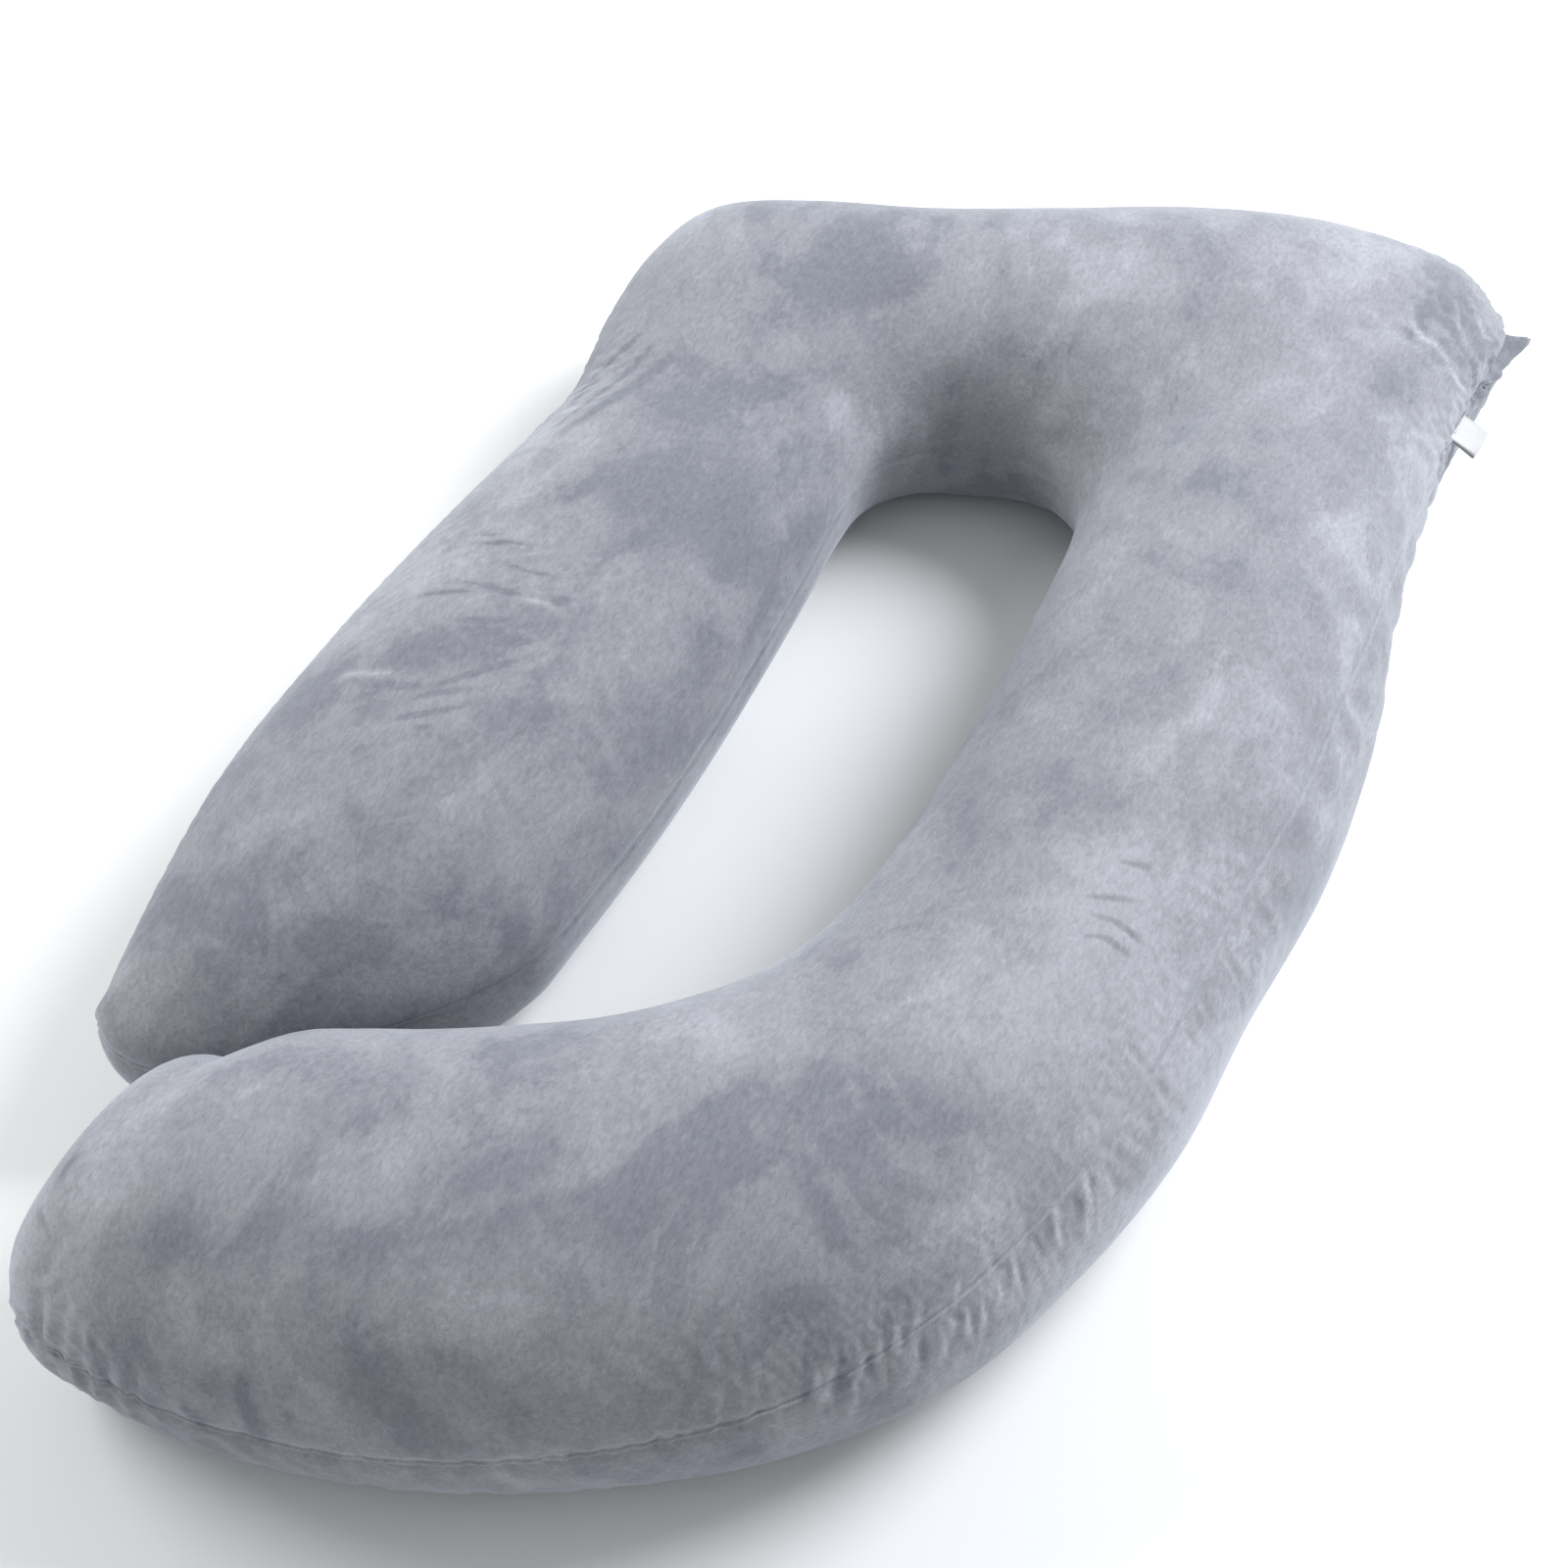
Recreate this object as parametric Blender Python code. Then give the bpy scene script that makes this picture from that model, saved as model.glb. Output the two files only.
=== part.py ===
"""A full-body pregnancy pillow lying on its back.

The cover is two panels sewn together round the edge and filled: a straight
left arm, a broad head end and a long right arm that curls round the foot end.
The origin is under the middle of the pillow, and +Y points to the head end.
"""
import math
from collections import namedtuple

import bpy
import numpy as np

# The filled body, in metres
RING_SPACING = 0.034        # distance between two sections of the loft, along the outer edge
AROUND = 28                 # points round one section
EQUATOR = 0.090             # height at which a section is widest
SIDE_ROUND = 2.2            # 2 is an ellipse in plan, more is squarer
TOP_ROUND = 2.2             # the same for the crown
UNDER_ROUND = 2.6           # the underside is squarer, because it is pressed
PRESS = 1.16                # how far past flat the underside is pressed
RIDGE = 0.003               # how far the sewn edge stands out
RIDGE_TURN = math.radians(2.5)   # half the ridge's width, as a turn round the section
EAR_SPREAD = math.radians(24)    # how far round the section the ear's pull reaches
EAR_SHARPEN = 9.0           # how much an ear flattens its section, for each metre of ear
GATHER_SPREAD = math.radians(34)   # how far round the section the gathers reach
END_STEPS = 8               # sections in each rounded end
END_TURN = math.radians(87)
END_PLAN_ROUND = 0.50       # less is blunter, seen from above
END_TOP_ROUND = 0.85        # the same, seen from the side
START_DEPTH = 0.066         # how far the left arm's end bulges past its last section
START_REACH = 0.24          # how far from its tip the left arm's crown starts to fall
START_ROWS = 3              # rows of SECTIONS that the fall can touch
START_INNER_WAY = np.array([-0.05, -1.0])   # the way the arm's inner side runs on into its end
FINISH_DEPTH = 0.055        # the same for the curl's end

Section = namedtuple("Section", "outer_x outer_y inner_x inner_y crown seam ear")

# From the left arm's end over the head to the curl's end. Outer and inner are
# the two widest points, crown is the height of the top, seam the height of the
# sewn edge on the outer side, ear how far a flat corner of the cover sticks out.
SECTIONS = [
    Section(-0.368, -0.472, -0.098, -0.255, 0.205, 0.095, 0.000),
    Section(-0.393, -0.285, -0.087, -0.150, 0.205, 0.100, 0.000),
    Section(-0.388, -0.115, -0.082, -0.045, 0.205, 0.100, 0.000),
    Section(-0.370, 0.040, -0.082, 0.060, 0.205, 0.105, 0.000),
    Section(-0.352, 0.160, -0.084, 0.150, 0.200, 0.110, 0.000),
    Section(-0.346, 0.230, -0.087, 0.215, 0.195, 0.110, 0.000),
    Section(-0.361, 0.325, -0.084, 0.265, 0.200, 0.110, 0.000),
    Section(-0.363, 0.412, -0.072, 0.295, 0.205, 0.110, 0.000),
    Section(-0.341, 0.483, -0.052, 0.315, 0.205, 0.110, 0.000),
    Section(-0.265, 0.524, -0.032, 0.328, 0.205, 0.110, 0.000),
    Section(-0.155, 0.560, -0.012, 0.335, 0.205, 0.110, 0.000),
    Section(-0.033, 0.615, 0.008, 0.340, 0.205, 0.110, 0.000),
    Section(0.083, 0.670, 0.033, 0.340, 0.205, 0.110, 0.000),
    Section(0.198, 0.708, 0.058, 0.332, 0.200, 0.110, 0.000),
    Section(0.304, 0.709, 0.078, 0.317, 0.190, 0.105, 0.003),
    Section(0.343, 0.672, 0.088, 0.305, 0.185, 0.102, 0.012),
    Section(0.355, 0.628, 0.093, 0.295, 0.185, 0.100, 0.045),
    Section(0.364, 0.590, 0.098, 0.280, 0.187, 0.100, 0.010),
    Section(0.355, 0.492, 0.103, 0.245, 0.195, 0.105, 0.003),
    Section(0.357, 0.403, 0.105, 0.210, 0.200, 0.115, 0.003),
    Section(0.371, 0.280, 0.106, 0.150, 0.205, 0.140, 0.000),
    Section(0.391, 0.155, 0.106, 0.070, 0.210, 0.165, 0.000),
    Section(0.396, 0.020, 0.103, -0.020, 0.210, 0.170, 0.000),
    Section(0.381, -0.120, 0.096, -0.120, 0.210, 0.170, 0.000),
    Section(0.372, -0.245, 0.080, -0.200, 0.210, 0.165, 0.000),
    Section(0.341, -0.363, 0.053, -0.260, 0.210, 0.155, 0.000),
    Section(0.293, -0.472, 0.013, -0.305, 0.212, 0.145, 0.000),
    Section(0.207, -0.567, -0.032, -0.343, 0.215, 0.122, 0.000),
    Section(0.095, -0.640, -0.082, -0.372, 0.215, 0.104, 0.000),
    Section(-0.017, -0.688, -0.127, -0.395, 0.213, 0.097, 0.000),
    Section(-0.132, -0.712, -0.167, -0.413, 0.210, 0.097, 0.000),
    Section(-0.207, -0.712, -0.200, -0.432, 0.207, 0.097, 0.000),
    Section(-0.258, -0.705, -0.236, -0.472, 0.195, 0.097, 0.000),
]

Gather = namedtuple("Gather", "first last spacing depth")

# Stretches of the sewn edge, by row of SECTIONS, where the cloth is drawn into
# small puckers: the pinch of the left arm, the ear, the foot and the curl's end.
GATHERS = [
    Gather(4.0, 6.0, 0.016, 0.0025),
    Gather(15.0, 18.0, 0.016, 0.0020),
    Gather(24.0, 28.0, 0.016, 0.0030),
    Gather(30.5, 32.0, 0.016, 0.0030),
]

Fold = namedtuple("Fold", "start_x start_y end_x end_y width depth")

# Creases pressed into the upper side, seen from above. The first three fan out
# of the left arm's pinch, then the dip behind the head ridge, the corner's
# gathers, the left arm's wrinkles and the creases at the right arm's bend.
FOLDS = [
    Fold(-0.347, 0.190, -0.272, 0.285, 0.014, 0.009),
    Fold(-0.347, 0.180, -0.242, 0.225, 0.014, 0.007),
    Fold(-0.352, 0.155, -0.257, 0.160, 0.014, 0.005),
    Fold(-0.247, 0.330, 0.013, 0.445, 0.034, 0.007),
    Fold(0.373, 0.595, 0.278, 0.585, 0.014, 0.007),
    Fold(0.368, 0.575, 0.283, 0.530, 0.014, 0.006),
    Fold(0.368, 0.550, 0.303, 0.475, 0.014, 0.005),
    Fold(-0.307, -0.020, -0.197, -0.065, 0.016, 0.005),
    Fold(-0.267, 0.060, -0.177, 0.010, 0.016, 0.004),
    Fold(-0.317, -0.090, -0.217, -0.140, 0.016, 0.004),
    Fold(0.243, -0.165, 0.343, -0.195, 0.016, 0.005),
    Fold(0.233, -0.210, 0.313, -0.260, 0.016, 0.004),
]

# The care label, a strip folded in half and sewn into the edge below the ear
LABEL_ROW = 17.70
LABEL_WIDTH = 0.034
LABEL_LENGTH = 0.027
LABEL_LAYER = 0.0010
LABEL_SLOT = 0.0006
LABEL_CLEAR = 0.0003
LABEL_DROOP = math.radians(22)
LABEL_FOLD_STEPS = 6
RIDGE_SAMPLES = 20          # places looked at between two sections, to seat the label


def clear_scene():
    for item in list(bpy.data.objects):
        bpy.data.objects.remove(item, do_unlink=True)


def make_material(name, colour, roughness):
    material = bpy.data.materials.new(name)
    material.use_nodes = True
    shader = material.node_tree.nodes["Principled BSDF"]
    shader.inputs["Base Color"].default_value = (*colour, 1.0)
    shader.inputs["Roughness"].default_value = roughness
    shader.inputs["Metallic"].default_value = 0.0
    return material


def section_at(position):
    """The row at a whole or broken position, by a smooth curve through the rows."""
    rows = np.array(SECTIONS, dtype=float)
    last = len(rows) - 1
    index = int(min(max(math.floor(position), 0), last - 1))
    part = position - index
    start, end = rows[index], rows[index + 1]
    leave = (end - rows[max(index - 1, 0)]) / 2
    arrive = (rows[min(index + 2, last)] - start) / 2
    row = ((2 * part**3 - 3 * part**2 + 1) * start
           + (part**3 - 2 * part**2 + part) * leave
           + (3 * part**2 - 2 * part**3) * end
           + (part**3 - part**2) * arrive)
    return Section(*row)


def gather_at(position):
    """The gather that a position lies in, or None."""
    for gather in GATHERS:
        if gather.first <= position < gather.last:
            return gather
    return None


def ring_positions():
    """Positions along the rows, closer together where the edge is gathered."""
    positions = [0.0]
    for index in range(len(SECTIONS) - 1):
        start = np.array(SECTIONS[index][:2])
        end = np.array(SECTIONS[index + 1][:2])
        gather = gather_at(index)
        spacing = gather.spacing if gather else RING_SPACING
        steps = max(2, round(float(np.linalg.norm(end - start)) / spacing))
        positions.extend(index + step / steps for step in range(1, steps + 1))
    return positions


def seam_turn(row):
    """The turn from a section's widest outer point up to its seam."""
    rise = (row.seam - EQUATOR) / (row.crown - EQUATOR)
    return math.asin(max(rise, 0.0) ** (TOP_ROUND / 2))


def fold_depth(x, y):
    """How deep the creases press in at a place seen from above."""
    depth = 0.0
    for fold in FOLDS:
        along = np.array([fold.end_x - fold.start_x, fold.end_y - fold.start_y])
        reach = np.array([x - fold.start_x, y - fold.start_y])
        part = min(max(float(reach @ along) / float(along @ along), 0.0), 1.0)
        away = float(np.linalg.norm(reach - along * part))
        depth += fold.depth * (1 - part**2 / 2) * math.exp(-(away / fold.width) ** 2)
    return depth


def start_fall(distance):
    """The share of its full height that the left arm's crown has, this far from its tip."""
    part = min(distance / START_REACH, 1.0)
    return math.sqrt(1 - (1 - part) ** 2)


def section_ring(row, narrow=1.0, lower=1.0, shift=(0.0, 0.0), lean=(0.0, 0.0),
                 drawn_in=0.0, top=1.0):
    """Points round one section: seam, over the crown, inner side and underside."""
    outer = np.array([row.outer_x, row.outer_y])
    inner = np.array([row.inner_x, row.inner_y])
    middle = (outer + inner) / 2 + np.array(shift)
    half = ((outer - inner) / 2 + np.array(lean)) * narrow
    outward = half / np.linalg.norm(half)
    side_round = SIDE_ROUND - EAR_SHARPEN * row.ear
    start = seam_turn(row)
    spacing = (2 * math.pi - 2 * RIDGE_TURN) / (AROUND - 2)
    ring = []
    for step in range(AROUND):
        turn = start if step == 0 else start + RIDGE_TURN + (step - 1) * spacing
        from_seam = min(turn - start, 2 * math.pi + start - turn)
        cosine, sine = math.cos(turn), math.sin(turn)
        side = math.copysign(abs(cosine) ** (2 / side_round), cosine)
        if sine >= 0:
            height = EQUATOR + (row.crown - EQUATOR) * top * sine ** (2 / TOP_ROUND)
        else:
            height = EQUATOR * (1 - PRESS * lower * (-sine) ** (2 / UNDER_ROUND))
        place = middle + half * side
        pull = row.ear * math.exp(-(from_seam / EAR_SPREAD) ** 2)
        pull -= drawn_in * math.exp(-(from_seam / GATHER_SPREAD) ** 2)
        if step == 0:
            pull += RIDGE
        if sine > 0:
            depth = fold_depth(*place) * top
            height -= depth * sine
            pull -= depth * cosine
        place = place + outward * pull * narrow
        ring.append((place[0], place[1], max(height, 0.0)))
    return ring


def end_forward(row, neighbour):
    """The direction in which an end points, square to its last section."""
    across = np.array([row.outer_x - row.inner_x, row.outer_y - row.inner_y])
    forward = np.array([across[1], -across[0]]) / np.linalg.norm(across)
    away = np.array([row.outer_x - neighbour.outer_x, row.outer_y - neighbour.outer_y])
    return forward * math.copysign(1.0, float(forward @ away))


def end_rings(row, forward, inner_way, depth, falls):
    """Rings that round off an end, from its last full section out to its tip."""
    rings = []
    for step in range(1, END_STEPS + 1):
        turn = END_TURN * step / END_STEPS
        reach = depth * math.sin(turn)
        narrow = math.cos(turn) ** END_PLAN_ROUND
        lower = math.cos(turn) ** END_TOP_ROUND
        top = start_fall(depth - reach) if falls else lower
        rings.append(section_ring(row, narrow, lower, (forward + inner_way) / 2 * reach,
                                  (forward - inner_way) / 2 * reach, top=top))
    return rings


def middle_of(row):
    return np.array([row.outer_x + row.inner_x, row.outer_y + row.inner_y]) / 2


def body_rings():
    first = SECTIONS[0]
    forward = end_forward(first, SECTIONS[1])
    rings = list(reversed(end_rings(first, forward, START_INNER_WAY, START_DEPTH, True)))
    for count, position in enumerate(ring_positions()):
        row = section_at(position)
        gather = gather_at(position)
        drawn_in = gather.depth if gather and count % 2 else 0.0
        top = 1.0
        if position < START_ROWS:
            from_first = float((middle_of(first) - middle_of(row)) @ forward)
            top = start_fall(START_DEPTH + from_first)
        rings.append(section_ring(row, drawn_in=drawn_in, top=top))
    way = end_forward(SECTIONS[-1], SECTIONS[-2])
    rings += end_rings(SECTIONS[-1], way, way, FINISH_DEPTH, False)
    return rings


def loft(name, rings):
    """One closed skin over the rings, with a fan at each end."""
    count = len(rings[0])
    points = [point for ring in rings for point in ring]
    faces = []
    for ring in range(len(rings) - 1):
        for step in range(count):
            after = (step + 1) % count
            faces.append((ring * count + step, ring * count + after,
                          (ring + 1) * count + after, (ring + 1) * count + step))
    for ring in (0, len(rings) - 1):
        hub = len(points)
        points.append(tuple(np.mean(rings[ring], axis=0)))
        for step in range(count):
            pair = (ring * count + (step + 1) % count, ring * count + step)
            faces.append((*pair, hub) if ring == 0 else (*reversed(pair), hub))
    mesh = bpy.data.meshes.new(name)
    mesh.from_pydata(points, [], faces)
    mesh.update()
    return mesh


def label_outline():
    """The folded strip from its side: out from the seam and back, with a slot between."""
    half = LABEL_LAYER + LABEL_SLOT / 2
    outline = [(0.0, -half)]
    for step in range(LABEL_FOLD_STEPS + 1):
        turn = math.pi * (step / LABEL_FOLD_STEPS - 0.5)
        outline.append((LABEL_LENGTH - half + half * math.cos(turn), half * math.sin(turn)))
    slot = LABEL_SLOT / 2
    slot_end = LABEL_LENGTH - half
    outline += [(0.0, half), (0.0, slot), (slot_end, slot), (slot_end, -slot), (0.0, -slot)]
    return outline


def make_label(rings):
    """The label's outline drawn out along the seam, just clear of the body."""
    row = section_at(LABEL_ROW)
    after = section_at(LABEL_ROW + 0.05)
    along = np.array([after.outer_x - row.outer_x, after.outer_y - row.outer_y, 0.0])
    along /= np.linalg.norm(along)
    outward = np.array([-along[1], along[0], 0.0])
    seam = np.array(section_ring(row)[0])
    ridge = np.array([ring[0] for ring in rings])
    shares = np.linspace(0.0, 1.0, RIDGE_SAMPLES)
    offsets = np.concatenate([ridge[:-1] + (ridge[1:] - ridge[:-1]) * part for part in shares]) - seam
    near = np.abs(offsets @ along) < LABEL_WIDTH / 2
    root = seam + outward * (float((offsets[near] @ outward).max()) + LABEL_CLEAR)
    sideways = outward * math.cos(LABEL_DROOP) - np.array([0.0, 0.0, math.sin(LABEL_DROOP)])
    upright = np.cross(along, sideways)
    outline = label_outline()
    count = len(outline)
    points = []
    for place in (-0.5, 0.5):
        for out, rise in outline:
            points.append(root + along * LABEL_WIDTH * place + sideways * out + upright * rise)
    faces = [tuple(reversed(range(count))), tuple(range(count, 2 * count))]
    for step in range(count):
        after = (step + 1) % count
        faces.append((step, after, count + after, count + step))
    mesh = bpy.data.meshes.new("care_label")
    mesh.from_pydata([tuple(point) for point in points], [], faces)
    mesh.update()
    return mesh


def add_part(collection, mesh, material):
    item = bpy.data.objects.new(mesh.name, mesh)
    mesh.materials.append(material)
    collection.objects.link(item)
    return item


def main():
    clear_scene()
    parts = bpy.data.collections.new("pregnancy_pillow")
    bpy.context.scene.collection.children.link(parts)
    velvet = make_material("grey_blue_velvet", (0.36, 0.39, 0.45), 0.9)
    satin = make_material("white_label_satin", (0.85, 0.85, 0.84), 0.6)
    rings = body_rings()
    body = add_part(parts, loft("pillow_body", rings), velvet)
    body.data.shade_smooth()
    add_part(parts, make_label(rings), satin)


main()
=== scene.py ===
import math
from collections import namedtuple

import bpy
import numpy as np
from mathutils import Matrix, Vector
from mathutils.bvhtree import BVHTree


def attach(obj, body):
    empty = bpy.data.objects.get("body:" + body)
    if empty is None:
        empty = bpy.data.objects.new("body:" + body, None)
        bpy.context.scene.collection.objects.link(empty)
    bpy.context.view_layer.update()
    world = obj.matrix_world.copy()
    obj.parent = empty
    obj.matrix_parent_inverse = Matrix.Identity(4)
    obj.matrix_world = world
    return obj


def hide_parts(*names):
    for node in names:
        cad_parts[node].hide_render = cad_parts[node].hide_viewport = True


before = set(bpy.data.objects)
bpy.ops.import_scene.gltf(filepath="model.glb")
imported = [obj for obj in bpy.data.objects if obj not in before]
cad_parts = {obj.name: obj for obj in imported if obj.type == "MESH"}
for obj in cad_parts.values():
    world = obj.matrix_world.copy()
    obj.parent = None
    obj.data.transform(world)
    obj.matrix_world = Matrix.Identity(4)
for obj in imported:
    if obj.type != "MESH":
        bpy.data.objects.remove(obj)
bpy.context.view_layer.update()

# The camera stands at the pillow's foot end, to the right, and looks down on it.
# One long lens, no roll and no shift.
CAMERA_LENS = 63.0
CAMERA_SENSOR = 36.0
CAMERA_TARGET = Vector((-0.012, -0.065, 0.09))
CAMERA_DISTANCE = 2.1053
CAMERA_AZIMUTH = math.radians(24)
CAMERA_ELEVATION = math.radians(50)

bpy.context.scene.view_settings.view_transform = "Standard"
camera_data = bpy.data.cameras.new("studio_camera")
camera_data.sensor_fit = "HORIZONTAL"
camera_data.sensor_width = CAMERA_SENSOR
camera_data.lens = CAMERA_LENS
camera = bpy.data.objects.new("studio_camera", camera_data)
bpy.context.scene.collection.objects.link(camera)
toward_camera = Vector((
    math.sin(CAMERA_AZIMUTH) * math.cos(CAMERA_ELEVATION),
    -math.cos(CAMERA_AZIMUTH) * math.cos(CAMERA_ELEVATION),
    math.sin(CAMERA_ELEVATION)))
camera.location = CAMERA_TARGET + toward_camera * CAMERA_DISTANCE
camera.rotation_mode = "QUATERNION"
camera.rotation_quaternion = (-toward_camera).to_track_quat("-Z", "Y")
bpy.context.scene.camera = camera

# The floor is one plain, nearly white sheet under soft studio light: a large
# cool light from the upper right, a weaker one from the left, and pale walls.
FLOOR_SIZE = 60.0
FLOOR_DROP = 0.0004
FLOOR_COLOUR = (0.93, 0.93, 0.93)
FLOOR_ROUGHNESS = 0.9
FLOOR_SHINE = 0.1
WALL_COLOUR = (0.95, 0.97, 1.0)
WALL_STRENGTH = 0.47

Lamp = namedtuple("Lamp", "name place aim size power colour")
LAMPS = [
    Lamp("upper_right_softbox", (2.0, 2.4, 2.6), (0.1, 0.0, 0.1), 2.4, 200.0,
         (0.94, 0.968, 1.0)),
    Lamp("left_softbox", (-3.0, -0.2, 1.9), (-0.2, -0.2, 0.1), 2.0, 75.0,
         (0.98, 0.98, 0.98)),
]

floor_mesh = bpy.data.meshes.new("studio_floor")
half_floor = FLOOR_SIZE / 2
floor_mesh.from_pydata(
    [(-half_floor, -half_floor, -FLOOR_DROP), (half_floor, -half_floor, -FLOOR_DROP),
     (half_floor, half_floor, -FLOOR_DROP), (-half_floor, half_floor, -FLOOR_DROP)],
    [], [(0, 1, 2, 3)])
floor = bpy.data.objects.new("studio_floor", floor_mesh)
bpy.context.scene.collection.objects.link(floor)
floor_material = bpy.data.materials.new("pale_floor")
floor_material.use_nodes = True
floor_shader = floor_material.node_tree.nodes["Principled BSDF"]
floor_shader.inputs["Base Color"].default_value = (*FLOOR_COLOUR, 1.0)
floor_shader.inputs["Roughness"].default_value = FLOOR_ROUGHNESS
floor_shader.inputs["Specular IOR Level"].default_value = FLOOR_SHINE
floor_mesh.materials.append(floor_material)

walls = bpy.data.worlds.new("pale_walls")
walls.use_nodes = True
walls.node_tree.nodes["Background"].inputs["Color"].default_value = (*WALL_COLOUR, 1.0)
walls.node_tree.nodes["Background"].inputs["Strength"].default_value = WALL_STRENGTH
bpy.context.scene.world = walls

for lamp in LAMPS:
    light_data = bpy.data.lights.new(lamp.name, "AREA")
    light_data.shape = "DISK"
    light_data.size = lamp.size
    light_data.energy = lamp.power
    light_data.color = lamp.colour
    light = bpy.data.objects.new(lamp.name, light_data)
    light.location = lamp.place
    light.rotation_mode = "QUATERNION"
    aim = Vector(lamp.aim) - Vector(lamp.place)
    light.rotation_quaternion = aim.to_track_quat("-Z", "Y")
    bpy.context.scene.collection.objects.link(light)

# The filled body: two plush panels sewn together all round and stuffed with
# loose fibre. It is lofted along the pillow, from the left arm's end over the
# head to the curl's end, then inflated as cloth, and its seams and creases follow.
EQUATOR = 0.090
SIDE_ROUND = 2.2
TOP_ROUND = 2.2
UNDER_ROUND = 2.6
PRESS = 1.16
EAR_SPREAD = math.radians(24)
EAR_SHARPEN = 9.0
END_PLAN_ROUND = 0.50
END_TOP_ROUND = 0.85
END_STOP = math.radians(89.4)
START_DEPTH = 0.066
START_REACH = 0.24
START_ROWS = 3
START_INNER_WAY = np.array([-0.05, -1.0])
FINISH_DEPTH = 0.055

RINGS = 800                 # rings of the finished cover; the cloth has every second one
END_RINGS = 24              # of these, in each rounded end
TOP_STEPS = 92              # faces round the upper panel
UNDER_STEPS = 32            # and round the under panel
UPPER_WEIGHTS = ((0.0, 0.60, 0.80, 1.0), (1.5, 1.5, 0.6, 0.6))   # more points on the outer side
UNDER_WEIGHTS = ((0.0, 0.45, 0.60, 1.0), (0.5, 0.5, 1.3, 1.3))
SEAM_CLOSER = 5.0           # how much closer together the points are right at the outer seam
SEAM_NEAR = 0.009
SIDE_CLOSER = 0.8           # and in the band beside it
SIDE_NEAR = 0.050
INNER_CLOSER = 2.0          # and at the inner seam
INNER_NEAR = 0.007
FLAT_WEIGHT = 0.20          # the flat underside gets few points
FLAT_HEIGHT = 0.004         # and this is how low it counts as flat
HALF_FINE = 400             # points of the fine curve that half a ring is measured on
END_FINE = 600              # the same for the profile of an end
LENGTH_FINE = 6000          # and for the whole length of the pillow
OUTER_SHARE = 0.72          # the rings' spacing follows the outer edge more
INNER_SHARE = 0.28          # than the inner one

Section = namedtuple("Section", "outer_x outer_y inner_x inner_y crown seam ear")
SECTIONS = np.array([
    (-0.368, -0.472, -0.098, -0.255, 0.205, 0.095, 0.000),
    (-0.393, -0.285, -0.087, -0.150, 0.205, 0.100, 0.000),
    (-0.388, -0.115, -0.082, -0.045, 0.205, 0.100, 0.000),
    (-0.370, 0.040, -0.082, 0.060, 0.205, 0.105, 0.000),
    (-0.352, 0.160, -0.084, 0.150, 0.200, 0.110, 0.000),
    (-0.346, 0.230, -0.087, 0.215, 0.195, 0.110, 0.000),
    (-0.361, 0.325, -0.084, 0.265, 0.200, 0.110, 0.000),
    (-0.363, 0.412, -0.072, 0.295, 0.205, 0.110, 0.000),
    (-0.341, 0.483, -0.052, 0.315, 0.205, 0.110, 0.000),
    (-0.265, 0.524, -0.032, 0.328, 0.205, 0.110, 0.000),
    (-0.155, 0.560, -0.012, 0.335, 0.205, 0.110, 0.000),
    (-0.033, 0.615, 0.008, 0.340, 0.205, 0.110, 0.000),
    (0.083, 0.670, 0.033, 0.340, 0.205, 0.110, 0.000),
    (0.198, 0.708, 0.058, 0.332, 0.200, 0.110, 0.000),
    (0.304, 0.709, 0.078, 0.317, 0.190, 0.105, 0.003),
    (0.343, 0.672, 0.088, 0.305, 0.185, 0.102, 0.010),
    (0.355, 0.628, 0.093, 0.295, 0.185, 0.100, 0.022),
    (0.364, 0.590, 0.098, 0.280, 0.187, 0.100, 0.002),
    (0.355, 0.492, 0.103, 0.245, 0.195, 0.105, 0.003),
    (0.357, 0.403, 0.105, 0.210, 0.200, 0.115, 0.003),
    (0.371, 0.280, 0.106, 0.150, 0.205, 0.140, 0.000),
    (0.391, 0.155, 0.106, 0.070, 0.210, 0.165, 0.000),
    (0.396, 0.020, 0.103, -0.020, 0.210, 0.170, 0.000),
    (0.381, -0.120, 0.096, -0.120, 0.210, 0.170, 0.000),
    (0.372, -0.245, 0.080, -0.200, 0.210, 0.165, 0.000),
    (0.341, -0.363, 0.053, -0.260, 0.210, 0.155, 0.000),
    (0.293, -0.472, 0.013, -0.305, 0.212, 0.145, 0.000),
    (0.207, -0.567, -0.032, -0.343, 0.215, 0.122, 0.000),
    (0.095, -0.640, -0.082, -0.372, 0.215, 0.104, 0.000),
    (-0.017, -0.688, -0.127, -0.395, 0.213, 0.097, 0.000),
    (-0.132, -0.712, -0.167, -0.413, 0.210, 0.097, 0.000),
    (-0.207, -0.712, -0.200, -0.432, 0.207, 0.097, 0.000),
    (-0.258, -0.705, -0.236, -0.472, 0.195, 0.097, 0.000),
])
LAST_ROW = len(SECTIONS) - 1

# The row, and how close together the rings are there: closest where the cover
# is gathered.
CLOSENESS = [
    (0.0, 1.5), (0.9, 2.4), (3.0, 2.4), (6.2, 2.4), (6.8, 0.9), (13.4, 0.9), (14.4, 3.4),
    (18.0, 3.4), (18.8, 0.9), (22.4, 0.9), (22.9, 3.2), (24.2, 3.2), (24.9, 3.2), (25.3, 4.8),
    (26.9, 4.8), (27.4, 2.6), (28.2, 1.6), (30.2, 1.6), (30.9, 2.6), (33.0, 2.6),
]


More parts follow.
